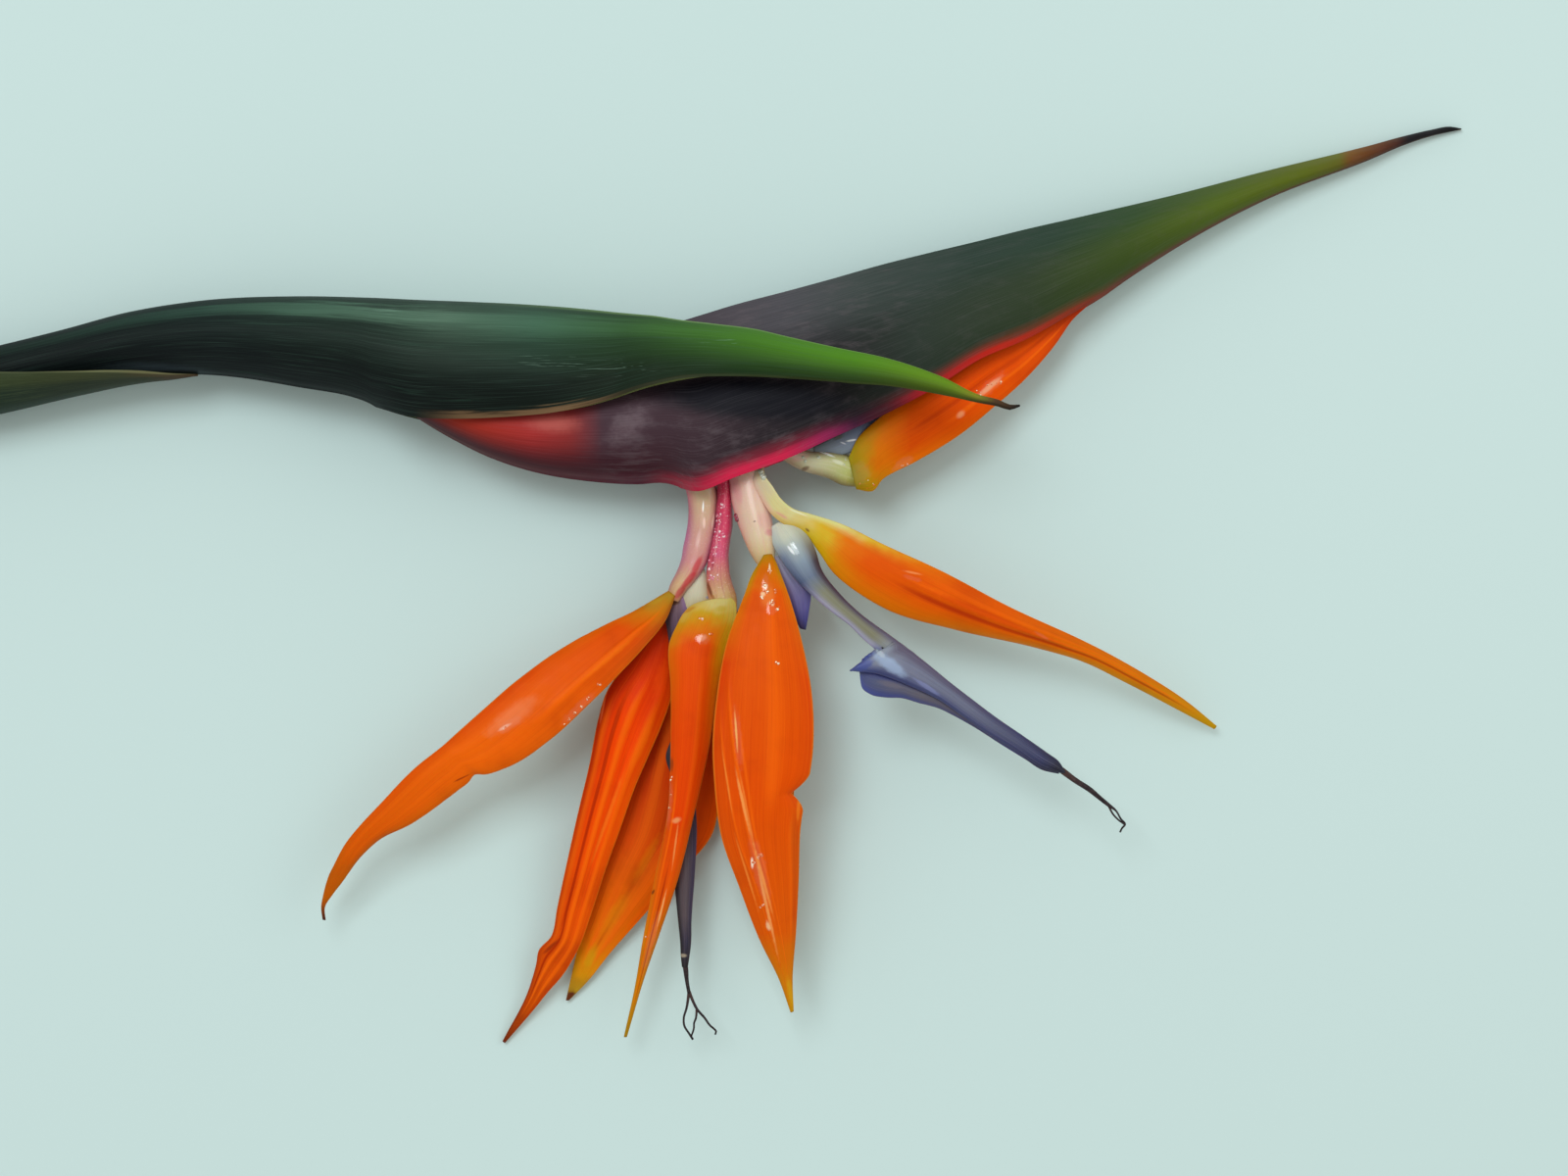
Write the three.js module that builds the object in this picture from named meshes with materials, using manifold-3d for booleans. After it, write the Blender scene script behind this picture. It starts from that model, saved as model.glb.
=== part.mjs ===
// Bird of paradise flower head, cut with a length of its stem and lying on its side.
// Millimetres, +Z up. The surface it lies on is Z = 0, the stem points to -X and the beak to +X.
import * as THREE from 'three';
import { mergeVertices } from 'three/addons/utils/BufferGeometryUtils.js';
import Module from 'manifold-3d';

const wasm = await Module();
wasm.setup();

// Walls and blades, and how finely each is divided
const SPATHE_WALL = 1;
const SPATHE_KEEL_WALL = 1.6;
const SHEATH_WALL = 0.9;
const SEPAL_THICKNESS = 0.8;
const PETAL_THICKNESS = 0.7;
const MARGIN_REACH = 0.985;
const SMALLEST_HOLLOW = 0.35;
const HOLLOW_FADE = 14;
const THIN_SHARE = 0.12;
const HULL_POINTS = 9;
const ROUND_STEPS = 2;
const BLADE_CELLS = 4;
const SCAPE_SIDES = 16;
const TUBE_SIDES = 10;
const FOLDED_PETAL_SIDES = 8;
const THREAD_SIDES = 6;

// Bract shapes: where between keel and foot the wall is fullest, how flat it is there,
// the wall, and the x where the hollow closes up into a solid beak
const SHEATH_SHAPE = {
  fullest: 1,
  flatness: 0.5,
  wall: SHEATH_WALL,
  keelWall: SHEATH_WALL,
  steps: ROUND_STEPS,
  solidFrom: Infinity,
};
const OUTER_SPATHE_SHAPE = {
  fullest: 0.9,
  flatness: 0.7,
  wall: SPATHE_WALL,
  keelWall: SPATHE_KEEL_WALL,
  steps: 1,
  solidFrom: 84,
};
const INNER_SPATHE_SHAPE = {
  fullest: 1.27,
  flatness: 0.7,
  wall: SPATHE_WALL,
  keelWall: SPATHE_KEEL_WALL,
  steps: 1,
  solidFrom: 150,
};

// Scape: the bare stem, and the thin axis inside the bracts: [x, y, z, half width, half depth]
const SCAPE = [
  [-176, 23.2, 5.6, 5.6, 5.6],
  [-150, 28.1, 6.4, 5.1, 5.1],
  [-135, 30.9, 6.8, 5, 5],
  [-123, 33.3, 7.4, 4.6, 4.6],
  [-117, 34.5, 7.8, 3.4, 3.4],
  [-102, 37.7, 8.1, 3.2, 3.2],
  [-95, 39.3, 8.5, 3, 3],
  [-77, 42.4, 9, 2.9, 2.9],
  [-58, 45.2, 9.6, 2.7, 2.7],
  [-40, 44, 11, 2.4, 2.4],
  [-24.1, 36.4, 12, 1.3, 1.3],
];

// Folded bracts: [x, keel y, keel z, foot y, foot z, half depth, front margin y, back margin y]
const STEM_SHEATH = [
  [-150, 21.3, 6.5, 34.9, 6.5, 6.5, 34.7, 34.7],
  [-135, 24, 6.8, 37.8, 6.8, 6.6, 37.6, 37.6],
  [-117, 27.5, 7.8, 41.3, 7.8, 7.6, 39.6, 40],
  [-104, 30, 8.1, 43, 8.1, 7.7, 39.4, 40],
  [-94.6, 31.8, 8.5, 44.5, 8.5, 7.4, 39.1, 39.6],
  [-82, 34.4, 9, 45.5, 9, 7.6, 38.9, 39.4],
  [-70.4, 36.3, 9.2, 46, 9.2, 7.4, 38.7, 38.8],
  [-63.3, 37.2, 9.4, 42, 9.4, 4, 38.4, 38.4],
  [-58.4, 37.7, 9.5, 38.9, 9.5, 1, 38.3, 38.3],
];
const OUTER_SPATHE = [
  [-116.5, 40, 7.8, 29.2, 7.8, 5.7, 29, 29],
  [-102, 42.9, 8.1, 32.6, 8.1, 5.5, 32.4, 32.4],
  [-95, 44.5, 8.5, 34.2, 8.5, 5.4, 34, 34],
  [-84, 47.2, 8.8, 36.3, 8.8, 5.8, 36.1, 36.1],
  [-71, 50.6, 9.2, 38.1, 9.2, 6.6, 38, 38],
  [-58, 52.6, 9.5, 38.7, 9.5, 7.5, 38.5, 38.5],
  [-40, 53.3, 11, 36.3, 11, 9.5, 36.1, 36.1],
  [-27, 53, 11.7, 33.4, 11.7, 10.8, 33.2, 33.2],
  [-16.5, 52.5, 12.2, 26, 12.2, 12, 30.5, 30.5],
  [-9, 52.2, 12.5, 24, 12.5, 12.9, 30.2, 29.6],
  [0, 51.8, 12.6, 22.9, 12.6, 13.4, 30.5, 31.3],
  [9, 51.2, 12.6, 19.3, 12.6, 13.3, 31.3, 36],
  [14.5, 50.7, 12.6, 17.5, 12.8, 12.8, 32.5, 40.4],
  [19, 50.2, 13, 18.6, 14.2, 12, 33.8, 46],
  [23, 49.7, 15, 20, 16.4, 11, 35.2, 48],
  [26.5, 49.2, 17.4, 22.2, 18.2, 9.6, 36.2, 48.7],
  [30.5, 48.5, 18.4, 24.4, 20.6, 8, 37.1, 48],
  [37.5, 47.6, 19.5, 32.9, 23.5, 5.5, 37.6, 46.8],
  [44.7, 46.5, 22, 35.8, 25.5, 4.5, 37.5, 45],
  [50.2, 45.1, 23.8, 36.9, 27, 3.4, 37.2, 41.7],
  [59.5, 42.9, 25.4, 36.3, 28.2, 2.9, 36.5, 36.7],
  [69, 40.8, 26.6, 35.5, 29, 2.6, 35.7, 35.8],
  [78.4, 37.5, 28, 34, 29.3, 2, 34.1, 34.2],
  [85.4, 34.3, 28.8, 32.4, 29.6, 1.3, 32.5, 32.5],
  [91.7, 32, 29.2, 31.2, 29.6, 0.6, 31.3, 31.3],
];
const INNER_SPATHE = [
  [-23, 37.8, 12, 34.6, 12, 1.8, 34.7, 34.7],
  [-17, 38.1, 12, 30.2, 12, 4.4, 30.3, 30.3],
  [-10.5, 38.5, 12, 26.3, 12, 6.6, 26.4, 26.4],
  [-4, 39, 12, 23.1, 12, 8.2, 23.2, 23.2],
  [5, 41.3, 12, 20.2, 12, 9.6, 20.4, 20.4],
  [14, 44.1, 12, 18.7, 12, 10.4, 18.9, 18.9],
  [23, 46.2, 12, 18.1, 12, 10.8, 18.3, 18.3],
  [28, 47.7, 12, 18.3, 12, 10.9, 18.6, 18.6],
  [30.3, 48.4, 12, 17.7, 12, 11, 18, 18],
  [34.2, 49.6, 12, 13.9, 12, 11.2, 17.1, 17.1],
  [41, 51.7, 11.8, 14.2, 11.8, 11.4, 19.6, 19.1],
  [50, 54.1, 11.2, 17, 11.2, 11.2, 22.5, 21.7],
  [59, 56.6, 10.6, 21.1, 10.6, 10.6, 26.5, 25.3],
  [68, 59.2, 10, 25.7, 10, 9.9, 30.7, 29.4],
  [77, 61.5, 9.4, 30.8, 9.4, 9.2, 35.7, 34.5],
  [86, 63.7, 8.8, 36.6, 8.8, 8.4, 41.4, 40.3],
  [95, 66, 8, 43.4, 8, 7.6, 46.8, 46],
  [104.4, 68.2, 7.2, 50, 7.2, 6.6, 51.9, 51.7],
  [109, 69.3, 6.8, 53, 6.8, 6, 53.2, 53.2],
  [122.7, 72.6, 5.6, 62.3, 5.6, 4.6, 62.5, 62.5],
  [141, 77.5, 4, 72.2, 4, 3, 72.3, 72.3],
  [160, 82.3, 2.3, 79.8, 2.3, 1.6, 79.9, 79.9],
  [169, 84.2, 1.3, 83.2, 1.3, 1, 83.3, 83.3],
  [177, 86.2, 0.5, 85.6, 0.5, 0.5, 85.65, 85.65],
];

// Tubes of the four flowers: [x, y, z, half width, half depth]
const OVARY_1 = [
  [12, 27, 11, 1.6, 1.6],
  [24, 26, 11, 2, 2],
  [30, 23.2, 11, 2.2, 2.2],
  [34, 18.8, 11, 2.3, 2.2],
  [34.8, 15, 11, 2.5, 2.3],
  [34.6, 10.3, 11.2, 2.3, 2.3],
  [32.3, 4.3, 11.4, 1.9, 2.1],
  [30.7, 0.4, 11.5, 1.4, 1.6],
  [30.1, -1.4, 11.5, 0.9, 1],
];
const OVARY_2 = [
  [10, 32, 11.5, 1.6, 1.6],
  [25, 31, 11.5, 1.8, 1.8],
  [35.5, 25.6, 11.5, 1.8, 1.8],
  [39, 19.3, 11.8, 1.3, 1.9],
  [39, 13, 12, 1.4, 2],
  [38.2, 7.5, 12, 1.6, 2],
  [37.9, 3, 12, 1.9, 1.8],
  [38.3, 0, 12, 2.4, 1.4],
  [38.4, -1.4, 12, 2.2, 1],
];
const OVARY_3 = [
  [14, 37, 12.5, 1.6, 1.8],
  [30, 35.5, 12.8, 2, 2.2],
  [40, 28.6, 13, 2.3, 2.5],
  [43.6, 19.6, 13.3, 2.9, 2.5],
  [44.6, 13.8, 14, 3.1, 2.5],
  [45.2, 9.3, 15, 2.6, 2.2],
  [46, 6, 15.6, 1.8, 1.7],
  [46.5, 4.8, 15.8, 1.1, 1.1],
];
const OVARY_4 = [
  [25, 41, 12, 1.6, 1.6],
  [36, 38, 12, 1.8, 1.8],
  [47.3, 28.3, 12, 2.1, 2.1],
  [52.7, 23.8, 12, 2.3, 2.2],
  [57.6, 23, 12, 2.5, 2.1],
  [60.4, 21.8, 12, 1.9, 1.6],
];
const FOLDED_PETALS_4 = [
  [58.6, 26.2, 10.5, 0.8, 0.7],
  [62.4, 27.6, 8.9, 1.5, 0.7],
  [68.2, 29.9, 8.8, 1.6, 0.7],
  [77.2, 36.6, 9, 1.5, 0.7],
  [86.3, 42.3, 8.6, 1.1, 0.6],
  [93.6, 45.8, 8, 0.5, 0.5],
];
const STYLE_1 = [
  [31.7, -71, 9.2, 0.4, 0.4],
  [32.6, -74.4, 8.7, 0.4, 0.4],
  [31.5, -78.4, 8.2, 0.35, 0.35],
  [31.4, -81.2, 8, 0.35, 0.35],
  [32.9, -84.2, 7.8, 0.35, 0.35],
];
const STYLE_1_MIDDLE_LOBE = [
  [32.6, -74.4, 8.7, 0.38, 0.38],
  [33.6, -78.4, 8.3, 0.35, 0.35],
  [33.3, -81.4, 8, 0.35, 0.35],
];
const STYLE_1_OUTER_LOBE = [
  [33.5, -78, 8.3, 0.36, 0.36],
  [34.4, -79.2, 8.1, 0.35, 0.35],
  [37.2, -82.9, 7.8, 0.35, 0.35],
];
const STYLE_2 = [
  [47.4, -64.7, 13.2, 0.4, 0.4],
  [49, -69.4, 12.4, 0.4, 0.4],
  [50.3, -74, 11.5, 0.35, 0.35],
];
const STYLE_3 = [
  [102.3, -35, 15.9, 0.45, 0.45],
  [106.3, -37.6, 15, 0.4, 0.4],
  [109.1, -39.9, 14.2, 0.4, 0.4],
  [112.8, -44.1, 13, 0.35, 0.35],
];
const STYLE_3_SIDE_LOBE = [
  [111.3, -42.4, 13.5, 0.36, 0.36],
  [113.4, -43.2, 13, 0.35, 0.35],
];

// Blades: [[left edge], [right edge], crown height over the line between them]
const SEPAL_1_LEFT = [
  [[28.7, -1.1, 13], [30, -2.1, 13], 0.1],
  [[22, -5, 14], [28.2, -6.6, 14], 0.5],
  [[15.8, -8, 15.5], [25.2, -10.5, 15.5], 0.8],
  [[8.7, -12, 17], [20.2, -16, 17], 1.2],
  [[1, -17.6, 18], [14.2, -22, 18], 1.4],
  [[-5, -22.8, 18], [7.2, -28.4, 18], 1.5],
  [[-10.4, -27.6, 17.5], [-1, -33.6, 17.5], 1.4],
  [[-12.4, -29.4, 17.2], [-6.7, -34.8, 17], 1.3],
  [[-16.5, -32.6, 16.5], [-9.6, -37.6, 16.5], 1.2],
  [[-23.5, -39.5, 14.5], [-17.7, -43.5, 14.5], 1.1],
  [[-31.2, -48.2, 12], [-25.8, -48, 12], 0.8],
  [[-33.3, -52, 10.8], [-29, -51.3, 10.8], 0.6],
  [[-34.5, -54.4, 9.5], [-31.8, -55.1, 9.5], 0.4],
  [[-35.4, -57.3, 8.5], [-33.7, -57.5, 8.5], 0.2],
  [[-35.9, -59.9, 7.9], [-35.2, -59.9, 7.9], 0.1],
  [[-35.7, -62.2, 7.4], [-35.1, -62.3, 7.4], 0.1],
];
const SEPAL_1_MIDDLE = [
  [[28.9, -1.6, 11], [29.9, -1.9, 11], 0.1],
  [[27.8, -5, 10.2], [29.1, -5.6, 10.2], 0.1],
  [[25.5, -8.2, 10.4], [28.6, -11.5, 10.4], 0.4],
  [[21, -14.4, 10.8], [28.6, -20.5, 10.6], 0.6],
  [[17.4, -19.4, 10.8], [27.4, -26, 10.4], 0.8],
  [[15.6, -25, 10.4], [24.6, -31.8, 10], 1],
  [[14, -33, 9.5], [21.9, -37.3, 9.5], 1],
  [[11.8, -42.2, 8.4], [17.6, -45.7, 8.4], 1],
  [[9.7, -51.4, 7.2], [15.2, -52.5, 7.2], 0.8],
  [[7.5, -60.8, 6], [14.9, -64, 6.2], 0.7],
  [[6.5, -65.7, 5.2], [11.8, -69, 5.2], 0.7],
  [[4.2, -68.3, 4.4], [8.6, -73, 4.2], 0.6],
  [[3.7, -70.9, 3.8], [6, -76, 3.4], 0.5],
  [[2.2, -75.8, 2.6], [3.6, -79, 2.4], 0.4],
  [[-2.8, -85.6, 0.8], [-2.3, -85.9, 0.8], 0.1],
];
const SEPAL_1_REAR = [
  [[30.2, -1.9, 10.2], [31.2, -2.3, 10.2], 0.1],
  [[27.6, -5.6, 7.6], [28.6, -6.2, 7.6], 0.1],
  [[23.6, -12, 6.4], [26.6, -15, 6.4], 0.4],
  [[19.8, -20, 5.8], [24.8, -20.6, 5.8], 0.5],
  [[16.4, -31, 5.2], [21.2, -31, 5.2], 0.6],
  [[13.6, -42, 4.6], [17.8, -42, 4.6], 0.5],
  [[11.6, -52, 3.6], [14.4, -52, 3.6], 0.3],
  [[10.2, -61, 2.6], [10.8, -61, 2.6], 0.1],
];
const SEPAL_2_FRONT = [
  [[33.6, -3.1, 13.4], [39.6, -1.9, 13.4], 0.4],
  [[30.4, -5.5, 14.5], [40.6, -6, 14.5], 0.9],
  [[29, -10.5, 15.5], [39.4, -10.7, 15.5], 1.3],
  [[29.2, -18.6, 16], [38, -18, 16], 1.4],
  [[29.2, -28.6, 16], [36.5, -28.6, 16], 1.3],
  [[28.6, -41.8, 15], [33.6, -41.8, 15], 1.1],
  [[26, -54.8, 13], [30.5, -54.2, 13], 0.9],
  [[23.9, -65.5, 10.5], [27, -64.6, 10.5], 0.7],
  [[22.4, -74.2, 8.5], [24, -73.3, 8.5], 0.4],
  [[20.2, -84.1, 6.5], [20.8, -84.1, 6.5], 0.1],
];
const SEPAL_2_LEFT = [
  [[36.2, -1.8, 10.6], [38, -1.8, 11], 0.1],
  [[33.4, -4.6, 8.8], [36.8, -4.8, 9], 0.1],
  [[29.4, -9.6, 7.2], [35.8, -9.8, 7.2], 0.4],
  [[25.9, -19.7, 6], [37.8, -19.7, 6], 0.9],
  [[22.6, -30.7, 5.5], [38.3, -30.7, 5.5], 1.1],
  [[19.5, -40.8, 4.8], [38, -40, 5], 1.2],
  [[17.7, -46.3, 4.4], [36.7, -46.3, 4.8], 1.2],
  [[15.2, -53.6, 3.8], [31.2, -53.2, 4.4], 1.1],
  [[13, -61.9, 2.8], [24, -61.5, 3.5], 0.8],
  [[11.2, -68.8, 2], [17.4, -69, 2.5], 0.5],
  [[10, -74, 1.4], [13.3, -74.2, 1.7], 0.3],
  [[9.1, -77.9, 0.9], [9.7, -77.9, 0.9], 0.1],
];
const SEPAL_2_REAR = [
  [[39, -1.9, 10.8], [40.4, -1.9, 10.8], 0.1],
  [[39.6, -6, 9.6], [41.8, -6, 9.6], 0.2],
  [[40.4, -12, 10.2], [45.4, -12, 10.2], 0.4],
  [[41.5, -25, 10.6], [48.6, -25, 10.6], 0.5],
  [[42.5, -40, 10.6], [49.4, -40, 10.6], 0.5],
  [[44.6, -52, 10.2], [49.4, -52, 10.2], 0.4],
  [[47.6, -62, 9.4], [50, -62, 9.4], 0.2],
  [[49.6, -68, 8.8], [50.2, -68, 8.8], 0.1],
];
const SEPAL_3_FRONT = [
  [[46.2, 4.8, 18.1], [47.9, 5, 18.1], 0.2],
  [[42.3, -2, 20], [50.4, -1.2, 20], 1],
  [[39.7, -10, 21], [53.2, -10, 21], 1.5],
  [[37.7, -20.6, 21.5], [55.2, -21, 21.5], 1.8],
  [[37, -29.5, 21.5], [55.3, -30, 21.5], 1.8],
  [[37.3, -35, 21.4], [54.8, -35.7, 21.2], 1.8],
  [[37.6, -38, 21.1], [53, -37.3, 21.4], 1.8],
  [[38.6, -45.2, 20.5], [53.2, -43.8, 20.5], 1.8],
  [[41.8, -55.2, 19], [52.7, -54, 19], 1.5],
  [[45.5, -65, 17], [52.2, -64, 17], 1.2],
  [[49.1, -72.6, 15], [51.6, -72.2, 15], 0.6],
  [[51.2, -78.8, 13], [51.8, -78.6, 13], 0.1],
];
const SEPAL_3_RIGHT = [
  [[46.8, 20.2, 16.4], [45.8, 18.6, 16.4], 0.1],
  [[49.6, 16.8, 16.8], [48.2, 15.2, 16.8], 0.2],
  [[54.7, 12.9, 17], [53.2, 10.2, 17], 0.5],
  [[60.4, 11, 17], [56.2, 6.2, 17], 0.8],
  [[68, 7.5, 17.5], [59.2, 2, 17], 1.2],
  [[78.7, 2.6, 17.5], [68.5, -4.4, 16.5], 1.6],
  [[91.3, -4, 16], [81.5, -8.3, 15], 1.6],
  [[104.3, -10.5, 13], [97, -11.8, 12.5], 1.2],
  [[108.8, -12.6, 11.6], [104, -14, 11.2], 1],
  [[117.3, -17.8, 9], [113.6, -18.4, 8.5], 0.7],
  [[125.4, -23, 5.5], [123.9, -23.9, 5.2], 0.4],
  [[130.9, -26.4, 3], [130.4, -27, 3], 0.1],
];
const SEPAL_3_REAR = [
  [[45.6, 4.1, 14.4], [47, 4.1, 14.4], 0.1],
  [[43.6, -2, 10.4], [49.4, -2, 10.4], 0.3],
  [[42, -9, 7.4], [51.4, -9, 7.4], 0.5],
  [[41, -20, 6], [52.4, -20, 6], 0.8],
  [[41, -32, 5], [52.4, -32, 5], 1],
  [[42, -44, 4.4], [51.4, -44, 4.4], 0.8],
  [[45, -56, 3.6], [50.6, -56, 3.6], 0.6],
  [[48.4, -66, 2.6], [50.6, -66, 2.6], 0.4],
  [[50.2, -72, 1.6], [50.8, -72, 1.6], 0.1],
];
const SEPAL_4_FRONT = [
  [[61.6, 23.4, 12], [62.8, 18.2, 12], 0.2],
  [[63.7, 27, 12.4], [66.1, 17.5, 12.4], 0.6],
  [[68.1, 31.2, 12.5], [68.4, 19.6, 12.5], 0.8],
  [[73.9, 35.2, 12], [74.5, 22.8, 12], 1],
  [[80.4, 39.8, 11.3], [82.2, 27.5, 11.3], 1],
  [[87.1, 44.3, 10.5], [89, 33, 10.5], 0.9],
  [[93.5, 47.1, 9.5], [94.8, 38.2, 9.5], 0.7],
  [[99.1, 49.9, 8.6], [100.3, 44.5, 8.6], 0.5],
  [[105.1, 51.8, 7.4], [105.7, 51.1, 7.4], 0.1],
];
const SEPAL_4_REAR = [
  [[61.2, 22.4, 10.2], [61.9, 20, 10.2], 0.1],
  [[64.6, 26.8, 7.4], [66.8, 19.2, 7.4], 0.2],
  [[69.1, 31.4, 6.4], [69.7, 22, 6.4], 0.4],
  [[75.5, 36, 6.2], [76.2, 27, 6.2], 0.4],
  [[82.8, 41.2, 6.2], [84.3, 32.9, 6.2], 0.4],
  [[92, 46, 6.2], [93.7, 40.6, 6.2], 0.2],
  [[100, 49.7, 6.2], [100.7, 48.2, 6.2], 0.1],
];
const SEPAL_4_INNER = [
  [[61, 24.6, 12.2], [61.5, 24.2, 12.2], 0.1],
  [[62.5, 28, 11.4], [63.1, 27.6, 11.4], 0.1],
  [[64.8, 31.2, 10.6], [65.6, 30.2, 10.6], 0.1],
  [[68.2, 36, 10.4], [68.4, 32.8, 10.4], 0.2],
  [[74.4, 41.8, 10.2], [74.2, 37, 10.2], 0.4],
  [[81.4, 46.2, 9.8], [80.6, 41.4, 9.8], 0.4],
  [[88, 49, 9.2], [87, 45.8, 9.2], 0.2],
  [[93.6, 50.6, 8.6], [93.4, 50, 8.6], 0.1],
];
const ARROW_1 = [
  [[30.3, -1.9, 11.6], [31.6, -2.2, 11.7], 0.2],
  [[29.4, -5.6, 11.5], [32.3, -5.6, 11.9], 0.5],
  [[27.8, -11.4, 12], [32.5, -11.4, 12.5], 0.7],
  [[27.8, -22.3, 12.3], [33, -22.3, 12.6], 0.9],
  [[27.8, -34, 12.1], [33.4, -34, 11.9], 1],
  [[28.5, -44.8, 11.3], [33.9, -44.8, 11.7], 0.9],
  [[29.7, -54, 10.9], [33.5, -53.7, 10.7], 0.8],
  [[30.4, -62.2, 10.1], [32.9, -62.2, 10.3], 0.6],
  [[31, -67.3, 9.8], [32.4, -67.3, 9.9], 0.4],
  [[31.4, -70.6, 9.5], [32, -70.6, 9.5], 0.1],
];
const ARROW_2 = [
  [[38.6, -1.9, 11.9], [40.3, -1.9, 11.9], 0.1],
  [[39.2, -6, 12.2], [41.8, -6, 12.2], 0.4],
  [[40.6, -12, 13.6], [43.2, -12, 13.6], 0.6],
  [[40.6, -20, 15.6], [44.6, -20, 15.6], 0.8],
  [[41.2, -35, 16], [45.2, -35, 16], 0.8],
  [[43.6, -50, 15], [46.6, -50, 15], 0.6],
  [[45.6, -59, 14.2], [47.4, -59, 14.2], 0.3],
  [[46.9, -64.2, 13.6], [47.5, -64.2, 13.6], 0.1],
];
const ARROW_3 = [
  [[49.8, 11.8, 15.6], [48.3, 9.9, 15.6], 0.5],
  [[53.4, 8.6, 17.6], [49.9, 5.4, 17.6], 1.4],
  [[56.4, 3.4, 18.6], [53, 0.8, 18.6], 1.4],
  [[60.8, -1.9, 19], [58.1, -4.2, 19], 1],
  [[64.8, -5.6, 19.3], [62.2, -8.5, 19.3], 0.8],
  [[68.8, -8.6, 19.6], [67.5, -12.6, 19.6], 0.8],
  [[70.4, -9.9, 19.7], [62.3, -15.3, 19.7], 0.9],
  [[74.1, -12.6, 19.6], [64.7, -19.4, 19.6], 1.5],
  [[79, -16.3, 19.2], [76.1, -21.9, 19.2], 1.5],
  [[84.9, -20.5, 18.6], [82.6, -24.6, 18.6], 1.3],
  [[91.2, -25.2, 17.8], [89.1, -28.6, 17.8], 1.1],
  [[97, -29.3, 17], [95, -32.5, 17], 0.9],
  [[101, -32.9, 16.5], [100.3, -34.4, 16.5], 0.4],
  [[102.1, -34.1, 16.4], [101.6, -34.8, 16.4], 0.1],
];
const HOOD_1 = [
  [[33.6, 2.2, 11.2], [34.8, 2, 11.2], 0.2],
  [[33, 0, 11.6], [34.9, -0.2, 11.6], 0.3],
  [[32.8, -2.6, 11.8], [34.6, -2.8, 11.8], 0.3],
  [[33, -7.8, 12.6], [34.4, -7.8, 12.6], 0.2],
];
const HOOD_2 = [
  [[35.1, -2.4, 11.7], [36.3, -1.9, 11.7], 0.1],
  [[34.8, -4.6, 11], [36.8, -4.4, 11], 0.3],
  [[34.3, -9, 11], [37.4, -9, 11], 0.5],
  [[35, -15, 11.2], [36.4, -15, 11.2], 0.1],
];
const HOOD_3 = [
  [[48, 5.2, 15.8], [49.3, 5.2, 15.8], 0.2],
  [[48.7, 2.1, 16.3], [52.1, 2.1, 16.3], 0.7],
  [[50, -1.5, 16.5], [54.8, -1.1, 16.5], 0.8],
  [[51.4, -5.1, 16.3], [54.6, -4.9, 16.3], 0.7],
  [[52.9, -8, 15.9], [54, -8.3, 15.9], 0.2],
];

// Catmull-Rom value through four numbers, at t from the second to the third.
function smooth(a, b, c, d, t) {
  const slope = 0.5 * (c - a);
  const nextSlope = 0.5 * (d - b);
  const rise = c - b;
  return b + t * (slope + t * (3 * rise - 2 * slope - nextSlope + t * (slope + nextSlope - 2 * rise)));
}

// Rows with the in-between rows of a smooth curve through them added.
function refine(rows, steps) {
  const last = rows.length - 1;
  const fine = [];
  for (let i = 0; i < last; i += 1) {
    const around = [rows[Math.max(i - 1, 0)], rows[i], rows[i + 1], rows[Math.min(i + 2, last)]];
    for (let k = 0; k < steps; k += 1) {
      fine.push(rows[i].map((_, n) => smooth(...around.map((row) => row[n]), k / steps)));
    }
  }
  fine.push(rows[last]);
  return fine;
}

// Geometry of one closed body from its points and triangles, turned to face outwards.
function closedBody(points, triangles) {
  const corner = (i) => points[i];
  const volume = triangles.reduce(
    (sum, [a, b, c]) => sum + corner(a).dot(new THREE.Vector3().crossVectors(corner(b), corner(c))),
    0,
  );
  const index = triangles.flatMap(([a, b, c]) => (volume > 0 ? [a, b, c] : [a, c, b]));
  const geometry = new THREE.BufferGeometry();
  geometry.setAttribute('position', new THREE.Float32BufferAttribute(points.flatMap((p) => p.toArray()), 3));
  geometry.setIndex(index);
  geometry.computeVertexNormals();
  return geometry;
}

// A sheet with thickness: two grids of like size, joined round their rim.
function sheet(outer, inner) {
  const rows = outer.length;
  const columns = outer[0].length;
  const points = [...outer.flat(), ...inner.flat()];
  const top = (i, j) => i * columns + j;
  const under = (i, j) => rows * columns + top(i, j);
  const triangles = [];
  for (let i = 0; i + 1 < rows; i += 1) {
    for (let j = 0; j + 1 < columns; j += 1) {
      triangles.push([top(i, j), top(i + 1, j), top(i + 1, j + 1)]);
      triangles.push([top(i, j), top(i + 1, j + 1), top(i, j + 1)]);
      triangles.push([under(i, j), under(i + 1, j + 1), under(i + 1, j)]);
      triangles.push([under(i, j), under(i, j + 1), under(i + 1, j + 1)]);
    }
  }
  const rim = [];
  for (let j = 0; j < columns; j += 1) {
    rim.push([0, j]);
  }
  for (let i = 1; i < rows; i += 1) {
    rim.push([i, columns - 1]);
  }
  for (let j = columns - 2; j >= 0; j -= 1) {
    rim.push([rows - 1, j]);
  }
  for (let i = rows - 2; i > 0; i -= 1) {
    rim.push([i, 0]);
  }
  rim.forEach(([i, j], n) => {
    const [k, m] = rim[(n + 1) % rim.length];
    triangles.push([top(i, j), top(k, m), under(i, j)], [top(k, m), under(k, m), under(i, j)]);
  });
  return closedBody(points, triangles);
}

// Across shape of a sepal: a smooth arch.
const arch = (v) => 4 * v * (1 - v);

// Across shape of an arrow petal pair: two flat wings that meet in a ridge.
const roof = (v) => 1 - Math.abs(2 * v - 1);

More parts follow.
